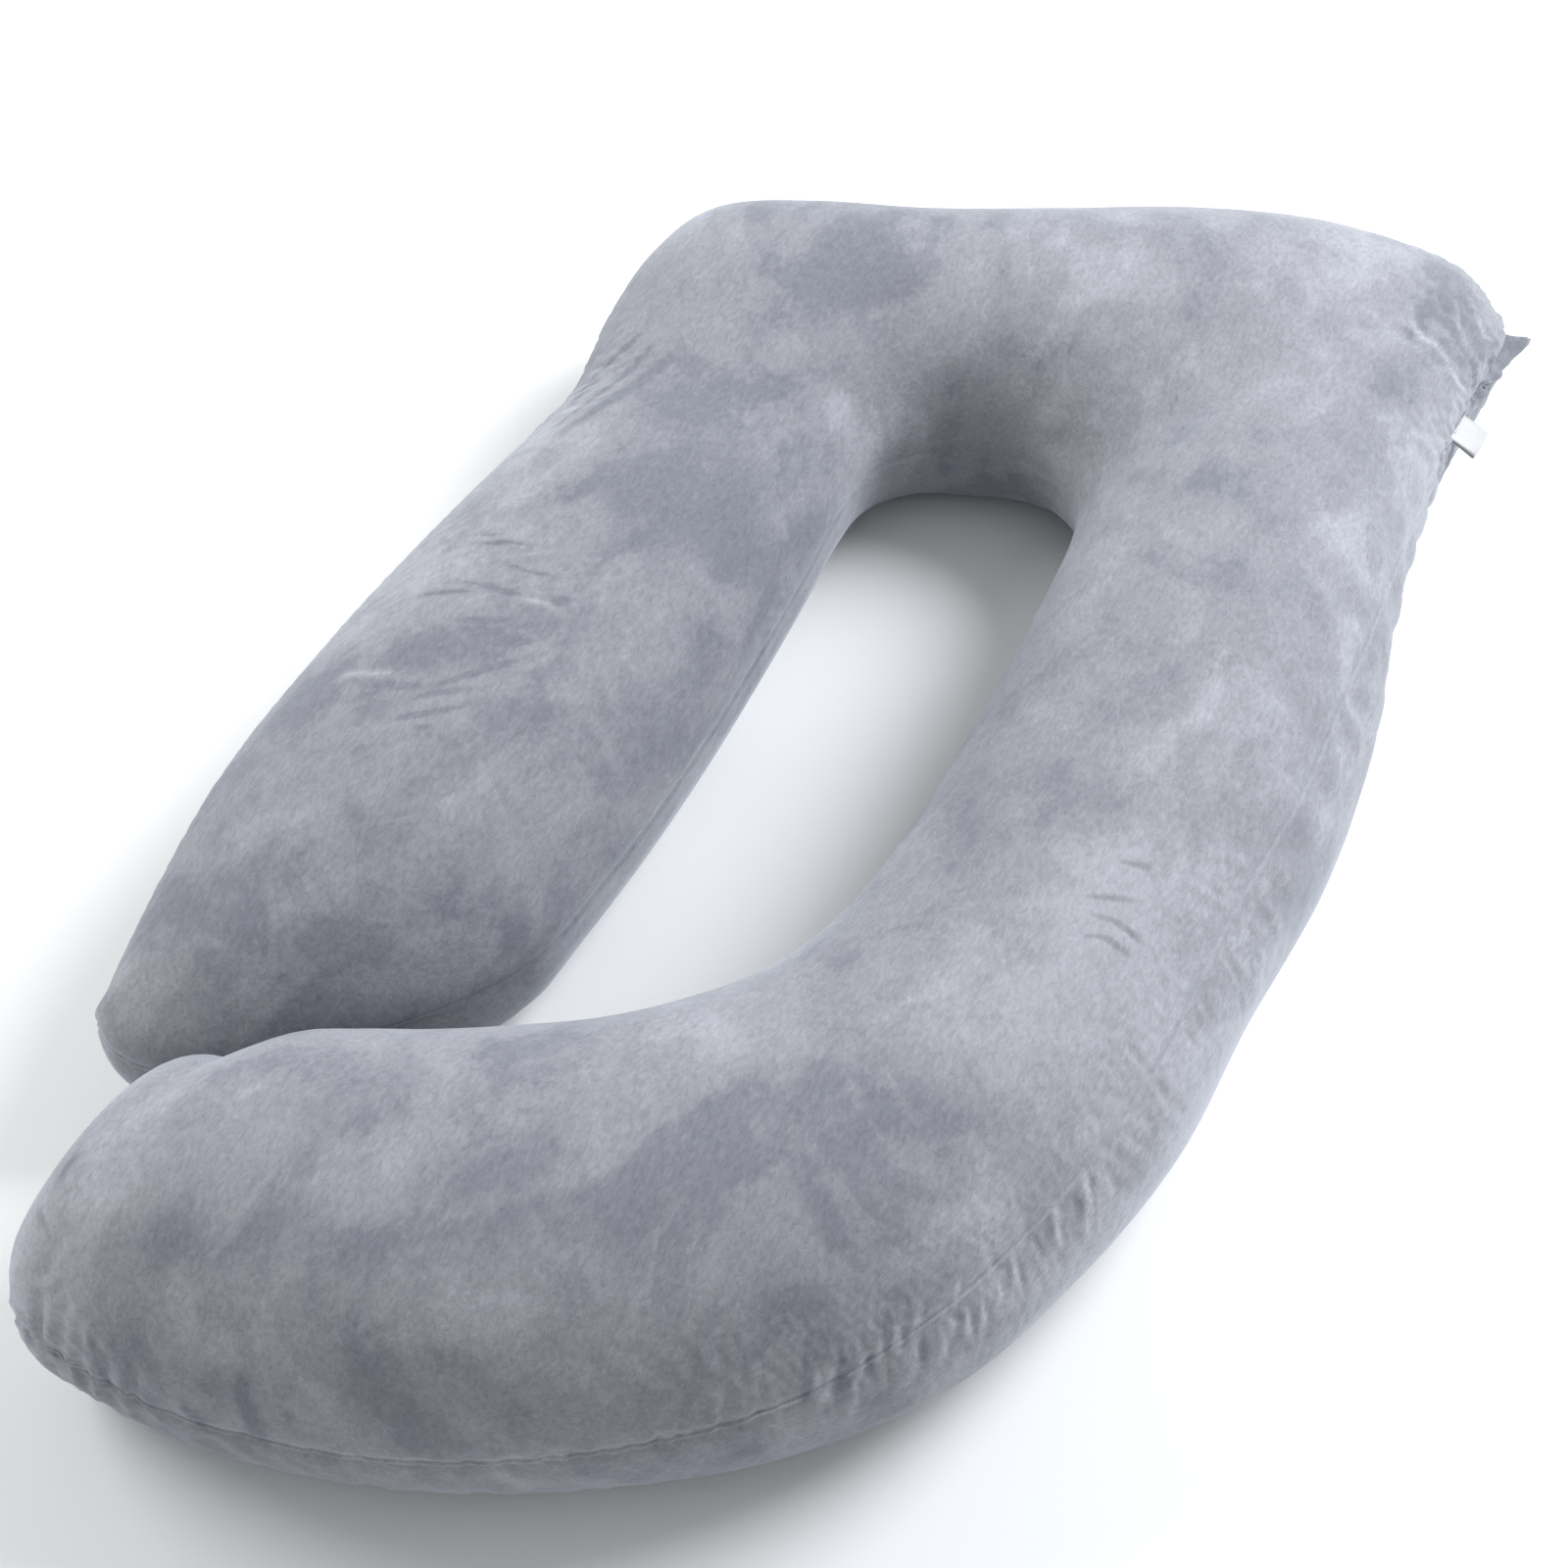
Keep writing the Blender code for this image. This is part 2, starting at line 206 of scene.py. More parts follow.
def section_at(position):
    """The section at a whole or broken row, on a smooth curve through the rows."""
    index = int(min(max(math.floor(position), 0), LAST_ROW - 1))
    part = position - index
    start, end = SECTIONS[index], SECTIONS[index + 1]
    leave = (end - SECTIONS[max(index - 1, 0)]) / 2
    arrive = (SECTIONS[min(index + 2, LAST_ROW)] - start) / 2
    return Section(*((2 * part**3 - 3 * part**2 + 1) * start
                     + (part**3 - 2 * part**2 + part) * leave
                     + (3 * part**2 - 2 * part**3) * end
                     + (part**3 - part**2) * arrive))


def seam_turn(row):
    """The turn from a section's widest outer point up to its seam."""
    rise = (row.seam - EQUATOR) / (row.crown - EQUATOR)
    return math.asin(max(rise, 0.0) ** (TOP_ROUND / 2))


def start_fall(distance):
    """The share of its full height that the left arm's crown has, this far from its tip."""
    part = min(max(distance, 0.0) / START_REACH, 1.0)
    return math.sqrt(1 - (1 - part) ** 2)


def section_curve(row, turns, narrow, lower, top, shift, lean):
    """Points of one section at an array of turns."""
    outer = np.array([row.outer_x, row.outer_y])
    inner = np.array([row.inner_x, row.inner_y])
    half = ((outer - inner) / 2 + lean) * narrow
    outward = half / np.linalg.norm(half)
    start = seam_turn(row)
    cosine, sine = np.cos(turns), np.sin(turns)
    side = np.sign(cosine) * np.abs(cosine) ** (2 / (SIDE_ROUND - EAR_SHARPEN * row.ear))
    above = EQUATOR + (row.crown - EQUATOR) * top * np.abs(sine) ** (2 / TOP_ROUND)
    below = EQUATOR * (1 - PRESS * lower * np.abs(sine) ** (2 / UNDER_ROUND))
    height = np.maximum(np.where(sine >= 0, above, below), 0.0)
    from_seam = np.minimum(turns - start, 2 * math.pi + start - turns)
    pull = row.ear * np.exp(-(from_seam / EAR_SPREAD) ** 2) * narrow
    plan = (outer + inner) / 2 + shift + np.outer(side, half) + np.outer(pull, outward)
    return np.column_stack([plan, height])


def spread(curve, steps, outer_first, weights):
    """Points along half a section, closest together at its two seams."""
    lengths = np.linalg.norm(np.diff(curve, axis=0), axis=1)
    travelled = np.cumsum(lengths) - lengths / 2
    to_start, to_end = travelled, lengths.sum() - travelled
    to_outer, to_inner = (to_start, to_end) if outer_first else (to_end, to_start)
    close = (weights + SEAM_CLOSER * np.exp(-(to_outer / SEAM_NEAR) ** 2)
             + SIDE_CLOSER * np.exp(-(to_outer / SIDE_NEAR) ** 2)
             + INNER_CLOSER * np.exp(-(to_inner / INNER_NEAR) ** 2))
    measured = np.concatenate([[0.0], np.cumsum(lengths * close)])
    wanted = np.linspace(0.0, measured[-1], steps + 1)
    return np.column_stack([np.interp(wanted, measured, curve[:, axis]) for axis in range(3)])


def ring_at(row, narrow=1.0, lower=1.0, top=1.0, shift=(0.0, 0.0), lean=(0.0, 0.0)):
    """One ring of the cover: outer seam, upper panel, inner seam, under panel."""
    start = seam_turn(row)
    shape = (narrow, lower, top, np.array(shift), np.array(lean))
    above = section_curve(row, np.linspace(start, math.pi, HALF_FINE), *shape)
    below = section_curve(row, np.linspace(math.pi, 2 * math.pi + start, HALF_FINE), *shape)
    flat = (below[:-1, 2] + below[1:, 2]) / 2 < FLAT_HEIGHT
    across = np.linspace(0.0, 1.0, HALF_FINE - 1)
    upper = spread(above, TOP_STEPS, True, np.interp(across, *UPPER_WEIGHTS))
    under_weights = np.where(flat, FLAT_WEIGHT, np.interp(across, *UNDER_WEIGHTS))
    under = spread(below, UNDER_STEPS, False, under_weights)
    return np.concatenate([upper[:-1], under[:-1]])


def end_forward(row, neighbour):
    """The direction in which an end points, square to its last section."""
    across = np.array([row.outer_x - row.inner_x, row.outer_y - row.inner_y])
    forward = np.array([across[1], -across[0]]) / np.linalg.norm(across)
    away = np.array([row.outer_x - neighbour.outer_x, row.outer_y - neighbour.outer_y])
    return forward * math.copysign(1.0, float(forward @ away))


def end_shapes(row, forward, inner_way, depth, falls):
    """The shape of each ring of one rounded end, from its last full section out."""
    half = math.hypot(row.outer_x - row.inner_x, row.outer_y - row.inner_y) / 2
    fine = np.linspace(0.0, END_STOP, END_FINE)
    steps = np.hypot(np.diff(half * np.cos(fine) ** END_PLAN_ROUND),
                     np.diff(depth * np.sin(fine)))
    travelled = np.concatenate([[0.0], np.cumsum(steps)])
    turns = np.interp(np.linspace(0.0, travelled[-1], END_RINGS + 1)[1:], travelled, fine)
    shapes = []
    for turn in turns:
        reach = depth * math.sin(turn)
        lower = math.cos(turn) ** END_TOP_ROUND
        shapes.append({
            "narrow": math.cos(turn) ** END_PLAN_ROUND, "lower": lower,
            "top": start_fall(depth - reach) if falls else lower,
            "shift": (forward + inner_way) / 2 * reach,
            "lean": (forward - inner_way) / 2 * reach})
    return shapes


def middle_of(row):
    return np.array([row.outer_x + row.inner_x, row.outer_y + row.inner_y]) / 2


def cover_grid():
    """The cover's points, rings by places round the ring, and each ring's row."""
    fine = np.linspace(0.0, LAST_ROW, LENGTH_FINE)
    outer = np.array([section_at(place)[:2] for place in fine])
    inner = np.array([section_at(place)[2:4] for place in fine])
    line = OUTER_SHARE * outer + INNER_SHARE * inner
    lengths = np.linalg.norm(np.diff(line, axis=0), axis=1)
    lengths *= np.interp(fine[:-1], *zip(*CLOSENESS))
    travelled = np.concatenate([[0.0], np.cumsum(lengths)])
    places = np.interp(np.linspace(0.0, travelled[-1], RINGS - 2 * END_RINGS), travelled, fine)
    first, last = section_at(0.0), section_at(LAST_ROW)
    first_way = end_forward(first, section_at(1.0))
    last_way = end_forward(last, section_at(LAST_ROW - 1.0))
    rings, rows = [], []
    for shape in reversed(end_shapes(first, first_way, START_INNER_WAY, START_DEPTH, True)):
        rings.append(ring_at(first, **shape))
        rows.append(shape["narrow"] - 1.0)
    for place in places:
        row = section_at(place)
        from_first = float((middle_of(first) - middle_of(row)) @ first_way)
        top = start_fall(START_DEPTH + from_first) if place < START_ROWS else 1.0
        rings.append(ring_at(row, top=top))
        rows.append(place)
    for shape in end_shapes(last, last_way, last_way, FINISH_DEPTH, False):
        rings.append(ring_at(last, **shape))
        rows.append(LAST_ROW + 1.0 - shape["narrow"])
    return np.array(rings), np.array(rows)


def grid_faces(ring_count, around):
    """Faces of a closed grid, with a fan at each end."""
    faces = []
    for ring in range(ring_count - 1):
        base, above = ring * around, (ring + 1) * around
        for step in range(around):
            after = (step + 1) % around
            faces.append((base + step, base + after, above + after, above + step))
    first_hub, last_hub = ring_count * around, ring_count * around + 1
    last = (ring_count - 1) * around
    for step in range(around):
        after = (step + 1) % around
        faces.append((after, step, first_hub))
        faces.append((last + step, last + after, last_hub))
    return faces


def cover_mesh(name, grid):
    """A mesh over a grid of rings."""
    ring_count, around = grid.shape[:2]
    points = np.concatenate([grid.reshape(-1, 3), [grid[0].mean(axis=0)], [grid[-1].mean(axis=0)]])
    mesh = bpy.data.meshes.new(name)
    mesh.from_pydata(points.tolist(), [], grid_faces(ring_count, around))
    mesh.update()
    return mesh


def grid_normals(grid):
    """Unit normals of the grid's points, outward."""
    along = np.gradient(grid, axis=0)
    round_ring = (np.roll(grid, -1, axis=1) - np.roll(grid, 1, axis=1)) / 2
    normals = np.cross(round_ring, along)
    lengths = np.linalg.norm(normals, axis=2, keepdims=True)
    return normals / np.maximum(lengths, 1e-12)


cover, cover_rows = cover_grid()

# The cloth is blown up from a slightly smaller shape. It is held softly to that
# shape, and has slack beside the seams and at the bends, so it wrinkles there.
CLOTH_INSET = 0.004
CLOTH_FRAMES = 20
CLOTH_PRESSURE = 4.0
CLOTH_HOLD = 0.42
CLOTH_GROUND = 0.003        # lower than this it lies on the floor and is held fast
CLOTH_QUALITY = 6
CLOTH_MASS = 0.15
CLOTH_STRETCH = 20.0
CLOTH_SHEAR = 8.0
CLOTH_BENDING = 0.04
CLOTH_CAP = 0.016           # no point moves further than this
CLOTH_BROAD = 6             # the broad swelling over this many points is taken out again
CLOTH_SHARE = 0.8           # how much of the cloth's own wrinkles the cover takes
SLACK_MOST = -0.12
SLACK_LEAST = 0.02
SLACK_NONE = 0.14           # the ease at which the cloth is neither slack nor taut

# Slack beside the outer seam: the row, how much there is above it and below it.
SEAM_SLACKS = [
    (-1.0, 0.10, 0.20), (3.6, 0.05, 0.20), (4.5, 0.12, 0.40), (5.6, 0.12, 0.40),
    (6.8, 0.05, 0.20), (13.2, 0.05, 0.20), (15.0, 0.45, 0.60), (18.0, 0.40, 0.60),
    (19.5, 0.10, 0.30), (24.0, 0.05, 0.15), (25.3, 0.08, 0.24), (26.6, 0.20, 0.24),
    (28.2, 0.25, 0.20), (30.6, 0.15, 0.20), (31.4, 0.45, 0.45), (33.0, 0.50, 0.50),
]
SLACK_REACH = 0.050
SLACK_CLEAR = 0.012         # right beside the seam the cloth is as short as the seam

# Slack over the upper panel, seen from above: the pinch and the corner.
PatchSlack = namedtuple("PatchSlack", "x y reach ease")
PATCH_SLACKS = [
    PatchSlack(-0.300, 0.215, 0.060, 0.12),
    PatchSlack(0.330, 0.555, 0.050, 0.40),
    PatchSlack(-0.250, -0.060, 0.090, 0.14),
]


def blurred(field, reach):
    """A field over the grid, smoothed along the rings and round them."""
    offsets = np.arange(-3 * reach, 3 * reach + 1)
    weights = np.exp(-(offsets / reach) ** 2)
    weights /= weights.sum()
    last = len(field) - 1
    rows = sum(w * field[np.clip(np.arange(last + 1) + o, 0, last)]
               for o, w in zip(offsets, weights))
    return sum(w * np.roll(rows, o, axis=1) for o, w in zip(offsets, weights))


def doubled(field, axis, closed):
    """A field with a point put in after each one, on a smooth curve."""
    moved = np.moveaxis(field, axis, 0)
    count = len(moved)
    index = np.arange(count)

    def at(offset):
        places = index + offset
        return moved[places % count if closed else np.clip(places, 0, count - 1)]

    between = (9 * (at(0) + at(1)) - at(-1) - at(2)) / 16
    both = np.stack([moved, between], axis=1).reshape(2 * count, *moved.shape[1:])
    return np.moveaxis(both, 0, axis)


def travel_round(grid):
    """How far along its ring each point is from the outer seam, and the ring's length."""
    steps = np.linalg.norm(np.roll(grid, -1, axis=1) - grid, axis=2)
    start = np.zeros((len(grid), 1))
    travelled = np.concatenate([start, np.cumsum(steps, axis=1)[:, :-1]], axis=1)
    return travelled, steps.sum(axis=1, keepdims=True)


def inflated(grid, rows):
    """How far each point of the grid moves when its cloth is blown up."""
    inset = grid - grid_normals(grid) * CLOTH_INSET
    inset[:, :, 2] = np.maximum(inset[:, :, 2], 0.0)
    travelled, whole = travel_round(grid)
    from_seam = np.minimum(travelled, whole - travelled)
    seam_rows, slacks_above, slacks_below = zip(*SEAM_SLACKS)
    above = np.interp(rows, seam_rows, slacks_above)[:, None]
    below = np.interp(rows, seam_rows, slacks_below)[:, None]
    upper = (np.arange(grid.shape[1]) <= TOP_STEPS // 2)[None, :]
    near_seam = (np.exp(-(from_seam / SLACK_REACH) ** 2)
                 * (1 - np.exp(-(from_seam / SLACK_CLEAR) ** 2)))
    slack = SLACK_NONE + np.where(upper, above, below) * near_seam
    for patch in PATCH_SLACKS:
        away = np.hypot(grid[:, :, 0] - patch.x, grid[:, :, 1] - patch.y)
        slack = slack + patch.ease * upper * np.exp(-(away / patch.reach) ** 2)
    slack = np.clip(slack, 0.0, 1.0)
    hold = np.where(inset[:, :, 2] < CLOTH_GROUND, 1.0, CLOTH_HOLD)
    hold[[0, -1]] = 1.0

    item = bpy.data.objects.new("cloth", cover_mesh("cloth", inset))
    bpy.context.scene.collection.objects.link(item)
    taut = item.vertex_groups.new(name="taut")
    held = item.vertex_groups.new(name="held")
    for index, (ease, grip) in enumerate(zip(slack.ravel(), hold.ravel())):
        taut.add([index], float(1 - ease), "REPLACE")
        held.add([index], float(grip), "REPLACE")
    held.add([slack.size, slack.size + 1], 1.0, "REPLACE")
    taut.add([slack.size, slack.size + 1], 1.0, "REPLACE")
    cloth = item.modifiers.new("cloth", "CLOTH")
    fabric = cloth.settings
    fabric.quality = CLOTH_QUALITY
    fabric.mass = CLOTH_MASS
    fabric.tension_stiffness = CLOTH_STRETCH
    fabric.compression_stiffness = CLOTH_STRETCH
    fabric.shear_stiffness = CLOTH_SHEAR
    fabric.bending_stiffness = CLOTH_BENDING
    fabric.use_pressure = True
    fabric.uniform_pressure_force = CLOTH_PRESSURE
    fabric.effector_weights.gravity = 0.0
    fabric.vertex_group_mass = "held"
    fabric.pin_stiffness = 1.0
    fabric.vertex_group_shrink = "taut"
    fabric.shrink_min = SLACK_MOST
    fabric.shrink_max = SLACK_LEAST
    cloth.collision_settings.use_collision = False
    scene = bpy.context.scene
    for frame_number in range(1, CLOTH_FRAMES + 1):
        scene.frame_set(frame_number)
    blown = item.evaluated_get(bpy.context.evaluated_depsgraph_get()).to_mesh()
    points = np.empty(len(blown.vertices) * 3)
    blown.vertices.foreach_get("co", points)
    scene.frame_set(1)
    bpy.data.objects.remove(item, do_unlink=True)
    moved = points.reshape(-1, 3)[:grid.shape[0] * grid.shape[1]].reshape(grid.shape) - inset
    far = np.linalg.norm(moved, axis=2, keepdims=True)
    return moved * np.minimum(1.0, CLOTH_CAP / np.maximum(far, 1e-9))


moved = inflated(cover[::2, ::2], cover_rows[::2])
wrinkles = moved - blurred(moved, CLOTH_BROAD)
cover = cover + CLOTH_SHARE * doubled(doubled(wrinkles, 0, False), 1, True)
cover[:, :, 2] = np.maximum(cover[:, :, 2], 0.0)
cover_normals = grid_normals(cover)
travelled_round, round_length = travel_round(cover)
from_outer_seam = np.minimum(travelled_round, round_length - travelled_round)
from_inner_seam = np.abs(travelled_round - travelled_round[:, TOP_STEPS:TOP_STEPS + 1])
on_top = (np.arange(cover.shape[1]) <= TOP_STEPS)[None, :] & np.ones((len(cover), 1), bool)
seam_steps = np.linalg.norm(np.diff(cover[:, 0], axis=0), axis=1)
along_seam = np.concatenate([[0.0], np.cumsum(seam_steps)])[:, None]

# Seams: the two panels' edges, turned in and sewn, stand up as a thin ridge
# in a shallow groove.
SEAM_RIDGE = 0.0022
SEAM_RIDGE_WIDTH = 0.0013
SEAM_GROOVE = 0.0028
SEAM_GROOVE_WIDTH = 0.0065
SEAM_PAINTED_HIGHLIGHT = 0.7            # painted highlight: the colour is lighter along the ridge


def seam_profile(distance):
    return (SEAM_RIDGE * np.exp(-(distance / SEAM_RIDGE_WIDTH) ** 2)
            - SEAM_GROOVE * np.exp(-(distance / SEAM_GROOVE_WIDTH) ** 2))


lift = seam_profile(from_outer_seam) + seam_profile(from_inner_seam)

# Puckers: where the thread draws the seam in, small folds run away from it
# into both panels, each a little different.
PUCKER_SEED = 7
PUCKER_START = 0.5          # the first stands this share of a spacing into its stretch
PUCKER_REACHES = (0.45, 1.5)    # the least and most of its stretch's own reach
PUCKER_DEPTHS = (0.35, 1.3)     # and the same for the rest
PUCKER_WIDTHS = (0.7, 1.4)
PUCKER_TILTS = (-0.35, 0.35)
PUCKER_SPACINGS = (0.6, 1.45)
PUCKER_NEAR = 0.07          # rings further along the seam than this are left alone
PUCKER_BROW = 0.45          # the counter-fold beside a pucker, as a share of its depth
PUCKER_BROW_AWAY = 1.9      # and how many widths away it runs

Pucker = namedtuple("Pucker", "first last spacing reach_up reach_down depth width")
PUCKERS = [
    Pucker(-0.6, 1.0, 0.030, 0.022, 0.030, 0.0014, 0.005),
    Pucker(1.0, 3.9, 0.060, 0.022, 0.030, 0.0008, 0.006),
    Pucker(3.9, 6.2, 0.022, 0.030, 0.040, 0.0018, 0.005),
    Pucker(6.2, 13.5, 0.050, 0.022, 0.030, 0.0007, 0.006),
    Pucker(13.5, 15.4, 0.017, 0.025, 0.040, 0.0020, 0.004),
    Pucker(15.4, 19.0, 0.015, 0.020, 0.040, 0.0022, 0.004),
    Pucker(19.0, 24.0, 0.048, 0.020, 0.030, 0.0007, 0.006),
    Pucker(24.0, 27.0, 0.030, 0.016, 0.026, 0.0008, 0.004),
    Pucker(27.0, 28.6, 0.020, 0.030, 0.020, 0.0014, 0.004),
    Pucker(28.6, 30.5, 0.040, 0.030, 0.020, 0.0012, 0.005),
    Pucker(30.5, 32.7, 0.016, 0.030, 0.030, 0.0026, 0.004),
]
pucker_draw = np.random.RandomState(PUCKER_SEED)
for pucker in PUCKERS:
    begins = float(np.interp(pucker.first, cover_rows, along_seam[:, 0]))
    ends = float(np.interp(pucker.last, cover_rows, along_seam[:, 0]))
    place = begins + pucker.spacing * PUCKER_START
    while place < ends:
        reach_up = pucker.reach_up * pucker_draw.uniform(*PUCKER_REACHES)
        reach_down = pucker.reach_down * pucker_draw.uniform(*PUCKER_REACHES)
        depth = pucker.depth * pucker_draw.uniform(*PUCKER_DEPTHS)
        width = pucker.width * pucker_draw.uniform(*PUCKER_WIDTHS)
        tilt = pucker_draw.uniform(*PUCKER_TILTS)
        reach = np.where(on_top, reach_up, reach_down)
        near = np.abs(along_seam[:, 0] - place) < PUCKER_NEAR
        offset = along_seam[near] - place - tilt * from_outer_seam[near]
        fade = np.exp(-(from_outer_seam[near] / reach[near]) ** 2)
        fold = (np.exp(-(offset / width) ** 2)
                - PUCKER_BROW * np.exp(-((offset - PUCKER_BROW_AWAY * width) / width) ** 2))
        lift[near] -= depth * fade * fold
        place += pucker.spacing * pucker_draw.uniform(*PUCKER_SPACINGS)

# Creases and small folds of the cover: how high each stands, or how deep it goes,
# and its width, in millimetres, its share of that at each end, and where it runs.
# The places were read in the photo, in its own pixels, across and down.
MM = 0.001
PHOTO_PIXELS = 1600
Crease = namedtuple("Crease", "height width start finish places")
CREASES = [Crease(*row) for row in (
    # the left arm's pinch
    (-16.6, 4.4, 0.9, 0.0, ((584, 411), (606, 386), (643, 350), (673, 323))),
    (-12.1, 2.6, 0.9, 0.0, ((567, 435), (590, 417), (636, 383), (678, 336))),
    (-10.0, 5.6, 0.7, 0.0, ((572, 442), (595, 427), (648, 393), (690, 358))),
    # the left arm's wrinkles
    (-4.9, 2.7, 0.1, 0.3, ((473, 557), (513, 553), (555, 557))),
    (-3.1, 2.4, 0.1, 0.1, ((484, 545), (499, 545), (513, 549))),
    (3.4, 2.4, 0.1, 0.1, ((510, 515), (527, 512))),
    (-4.0, 2.7, 0.1, 0.1, ((454, 592), (499, 598), (540, 611))),
    (-4.0, 2.7, 0.1, 0.1, ((415, 611), (446, 605), (475, 603), (497, 604))),
    (3.7, 2.9, 0.2, 0.2, ((522, 609), (560, 617), (579, 631))),
    (-5.3, 3.2, 0.2, 0.1, ((564, 617), (585, 611))),
    (-4.9, 2.7, 0.1, 0.2, ((471, 639), (515, 650), (530, 654))),
    (-3.4, 2.4, 0.1, 0.1, ((499, 656), (524, 657), (554, 652))),
    (-5.6, 2.7, 0.1, 0.1, ((436, 703), (475, 690), (534, 672))),
    (-4.4, 2.7, 0.1, 0.1, ((418, 714), (442, 708), (489, 702))),
    (-4.0, 2.9, 0.1, 0.1, ((385, 737), (422, 730), (483, 719))),
    (4.4, 3.2, 0.5, 0.0, ((340, 696), (356, 688), (381, 687), (415, 688))),
    (-3.1, 2.7, 0.1, 0.1, ((360, 696), (400, 699), (442, 701))),
    (-2.5, 2.7, 0.1, 0.1, ((452, 631), (483, 633), (524, 633))),
    (-2.8, 2.7, 0.1, 0.1, ((505, 574), (540, 583), (575, 590))),
    (-2.5, 2.7, 0.1, 0.1, ((418, 744), (446, 740))),
    # the shallow dip behind the head's ridge, with a broad band of painted shade along it
    (-5.0, 30.0, 0.1, 0.1, ((800, 285), (880, 285), (960, 285))),
    # the curl's front
    (-5.5, 3.4, 0.0, 0.9, ((88, 1340), (92, 1372), (103, 1398), (110, 1418))),
    (-5.3, 3.4, 0.0, 0.9, ((241, 1385), (248, 1423), (262, 1462), (266, 1474))),
    (-3.5, 3.1, 0.0, 0.9, ((189, 1428), (196, 1444), (203, 1456))),
    (-3.1, 2.5, 0.1, 0.9, ((54, 1380), (58, 1396))),
    (-3.7, 2.5, 0.1, 0.9, ((60, 1377), (65, 1394))),
    (-2.6, 3.4, 0.1, 0.9, ((150, 1415), (155, 1438))),
    (-2.4, 3.4, 0.1, 0.9, ((290, 1430), (300, 1465))),
    (-5.0, 3.0, 0.7, 0.1, ((57, 1207), (65, 1195), (86, 1171))),
    (-4.5, 2.8, 0.7, 0.1, ((39, 1236), (42, 1243), (48, 1256))),
    # the bend of the right arm
    (8.1, 3.2, 0.7, 0.0, ((1114, 924), (1132, 926), (1152, 936), (1183, 967), (1204, 1005))),
    (-8.1, 3.2, 0.7, 0.0, ((1117, 934), (1137, 940), (1154, 953), (1170, 972))),
    (5.0, 2.7, 0.7, 0.0, ((1117, 946), (1137, 950), (1167, 972))),
    (-6.2, 2.7, 0.7, 0.0, ((1107, 955), (1130, 958), (1159, 982))),
    (-4.2, 3.2, 0.7, 0.0, ((1113, 914), (1132, 916), (1163, 919))),
    (-4.2, 3.2, 0.3, 0.1, ((1137, 878), (1159, 882), (1178, 888))),
    # the corner's gathers
    (10.0, 3.1, 0.1, 0.7, ((1481, 292), (1486, 325), (1498, 358), (1515, 388))),
    (8.5, 2.9, 0.1, 0.7, ((1502, 306), (1509, 326), (1515, 342), (1528, 361))),
    (8.8, 3.2, 0.1, 0.7, ((1441, 312), (1451, 344), (1466, 353), (1480, 378), (1496, 406))),
    (5.2, 2.2, 0.2, 0.5, ((1517, 358), (1515, 372), (1511, 378))),
    (-10.0, 5.1, 0.1, 0.1, ((1475, 290), (1477, 319))),
    (-10.0, 4.2, 0.1, 0.7, ((1492, 305), (1503, 345), (1508, 378))),
    (-9.0, 4.2, 0.1, 0.1, ((1449, 316), (1457, 344))),
    (-8.1, 4.2, 0.1, 0.7, ((1498, 378), (1508, 397))),
    (-6.0, 4.2, 0.1, 0.1, ((1432, 330), (1444, 350))),
    # the foot, above its seam
    (-4.4, 3.5, 0.0, 0.9, ((824, 1378), (823, 1428))),
    (4.0, 2.8, 0.0, 0.9, ((834, 1392), (835, 1428))),
    (4.9, 2.4, 0.0, 0.9, ((849, 1386), (848, 1415), (842, 1428))),
    (-5.3, 4.0, 0.0, 0.9, ((861, 1380), (861, 1415))),
    (5.1, 2.4, 0.0, 0.9, ((884, 1375), (878, 1404), (871, 1418))),
    (-3.9, 2.8, 0.0, 0.9, ((889, 1378), (887, 1402))),
    (4.0, 2.4, 0.0, 0.9, ((900, 1362), (897, 1390))),
    (-5.3, 3.4, 0.0, 0.9, ((906, 1334), (906, 1380))),
    (3.9, 2.8, 0.0, 0.9, ((915, 1345), (917, 1380))),
    (-3.9, 2.8, 0.0, 0.9, ((925, 1350), (925, 1372))),
    (6.9, 2.9, 0.0, 0.9, ((936, 1312), (936, 1363), (933, 1380))),
    (2.9, 3.2, 0.0, 0.5, ((978, 1303), (976, 1334))),
    # the foot, below its seam
    (2.8, 2.8, 0.9, 0.0, ((876, 1418), (871, 1437), (867, 1450))),
    (3.6, 2.9, 0.9, 0.0, ((933, 1382), (930, 1403), (917, 1420))),
    (-2.3, 3.2, 0.9, 0.0, ((945, 1366), (940, 1394))),
    (4.3, 2.6, 0.9, 0.0, ((972, 1350), (964, 1376), (955, 1396))),
    (-2.6, 2.9, 0.9, 0.0, ((981, 1344), (976, 1372))),
    (3.0, 2.8, 0.9, 0.0, ((989, 1336), (984, 1373))),
    (3.8, 2.4, 0.9, 0.0, ((1008, 1320), (1003, 1350), (997, 1371))),
    (-2.4, 2.6, 0.9, 0.0, ((999, 1326), (997, 1346))),
    (-2.4, 2.8, 0.9, 0.0, ((1030, 1293), (1030, 1314))),
    (3.0, 2.4, 0.9, 0.0, ((1036, 1282), (1034, 1320))),
    (2.4, 2.4, 0.9, 0.0, ((1024, 1300), (1023, 1324))),
    (-2.3, 3.2, 0.9, 0.0, ((1072, 1245), (1071, 1276))),
    (3.0, 2.8, 0.9, 0.0, ((1080, 1232), (1079, 1276))),
    (-4.3, 4.0, 0.6, 0.0, ((1099, 1218), (1103, 1256))),
    (4.5, 2.6, 0.6, 0.0, ((1109, 1199), (1112, 1247), (1108, 1276))),
    (-2.4, 2.1, 0.6, 0.0, ((1115, 1200), (1115, 1234))),
    (3.3, 2.4, 0.6, 0.0, ((1120, 1196), (1121, 1222))),
)]
CREASE_FADE = 0.35          # the share of its length over which a crease rises from its end
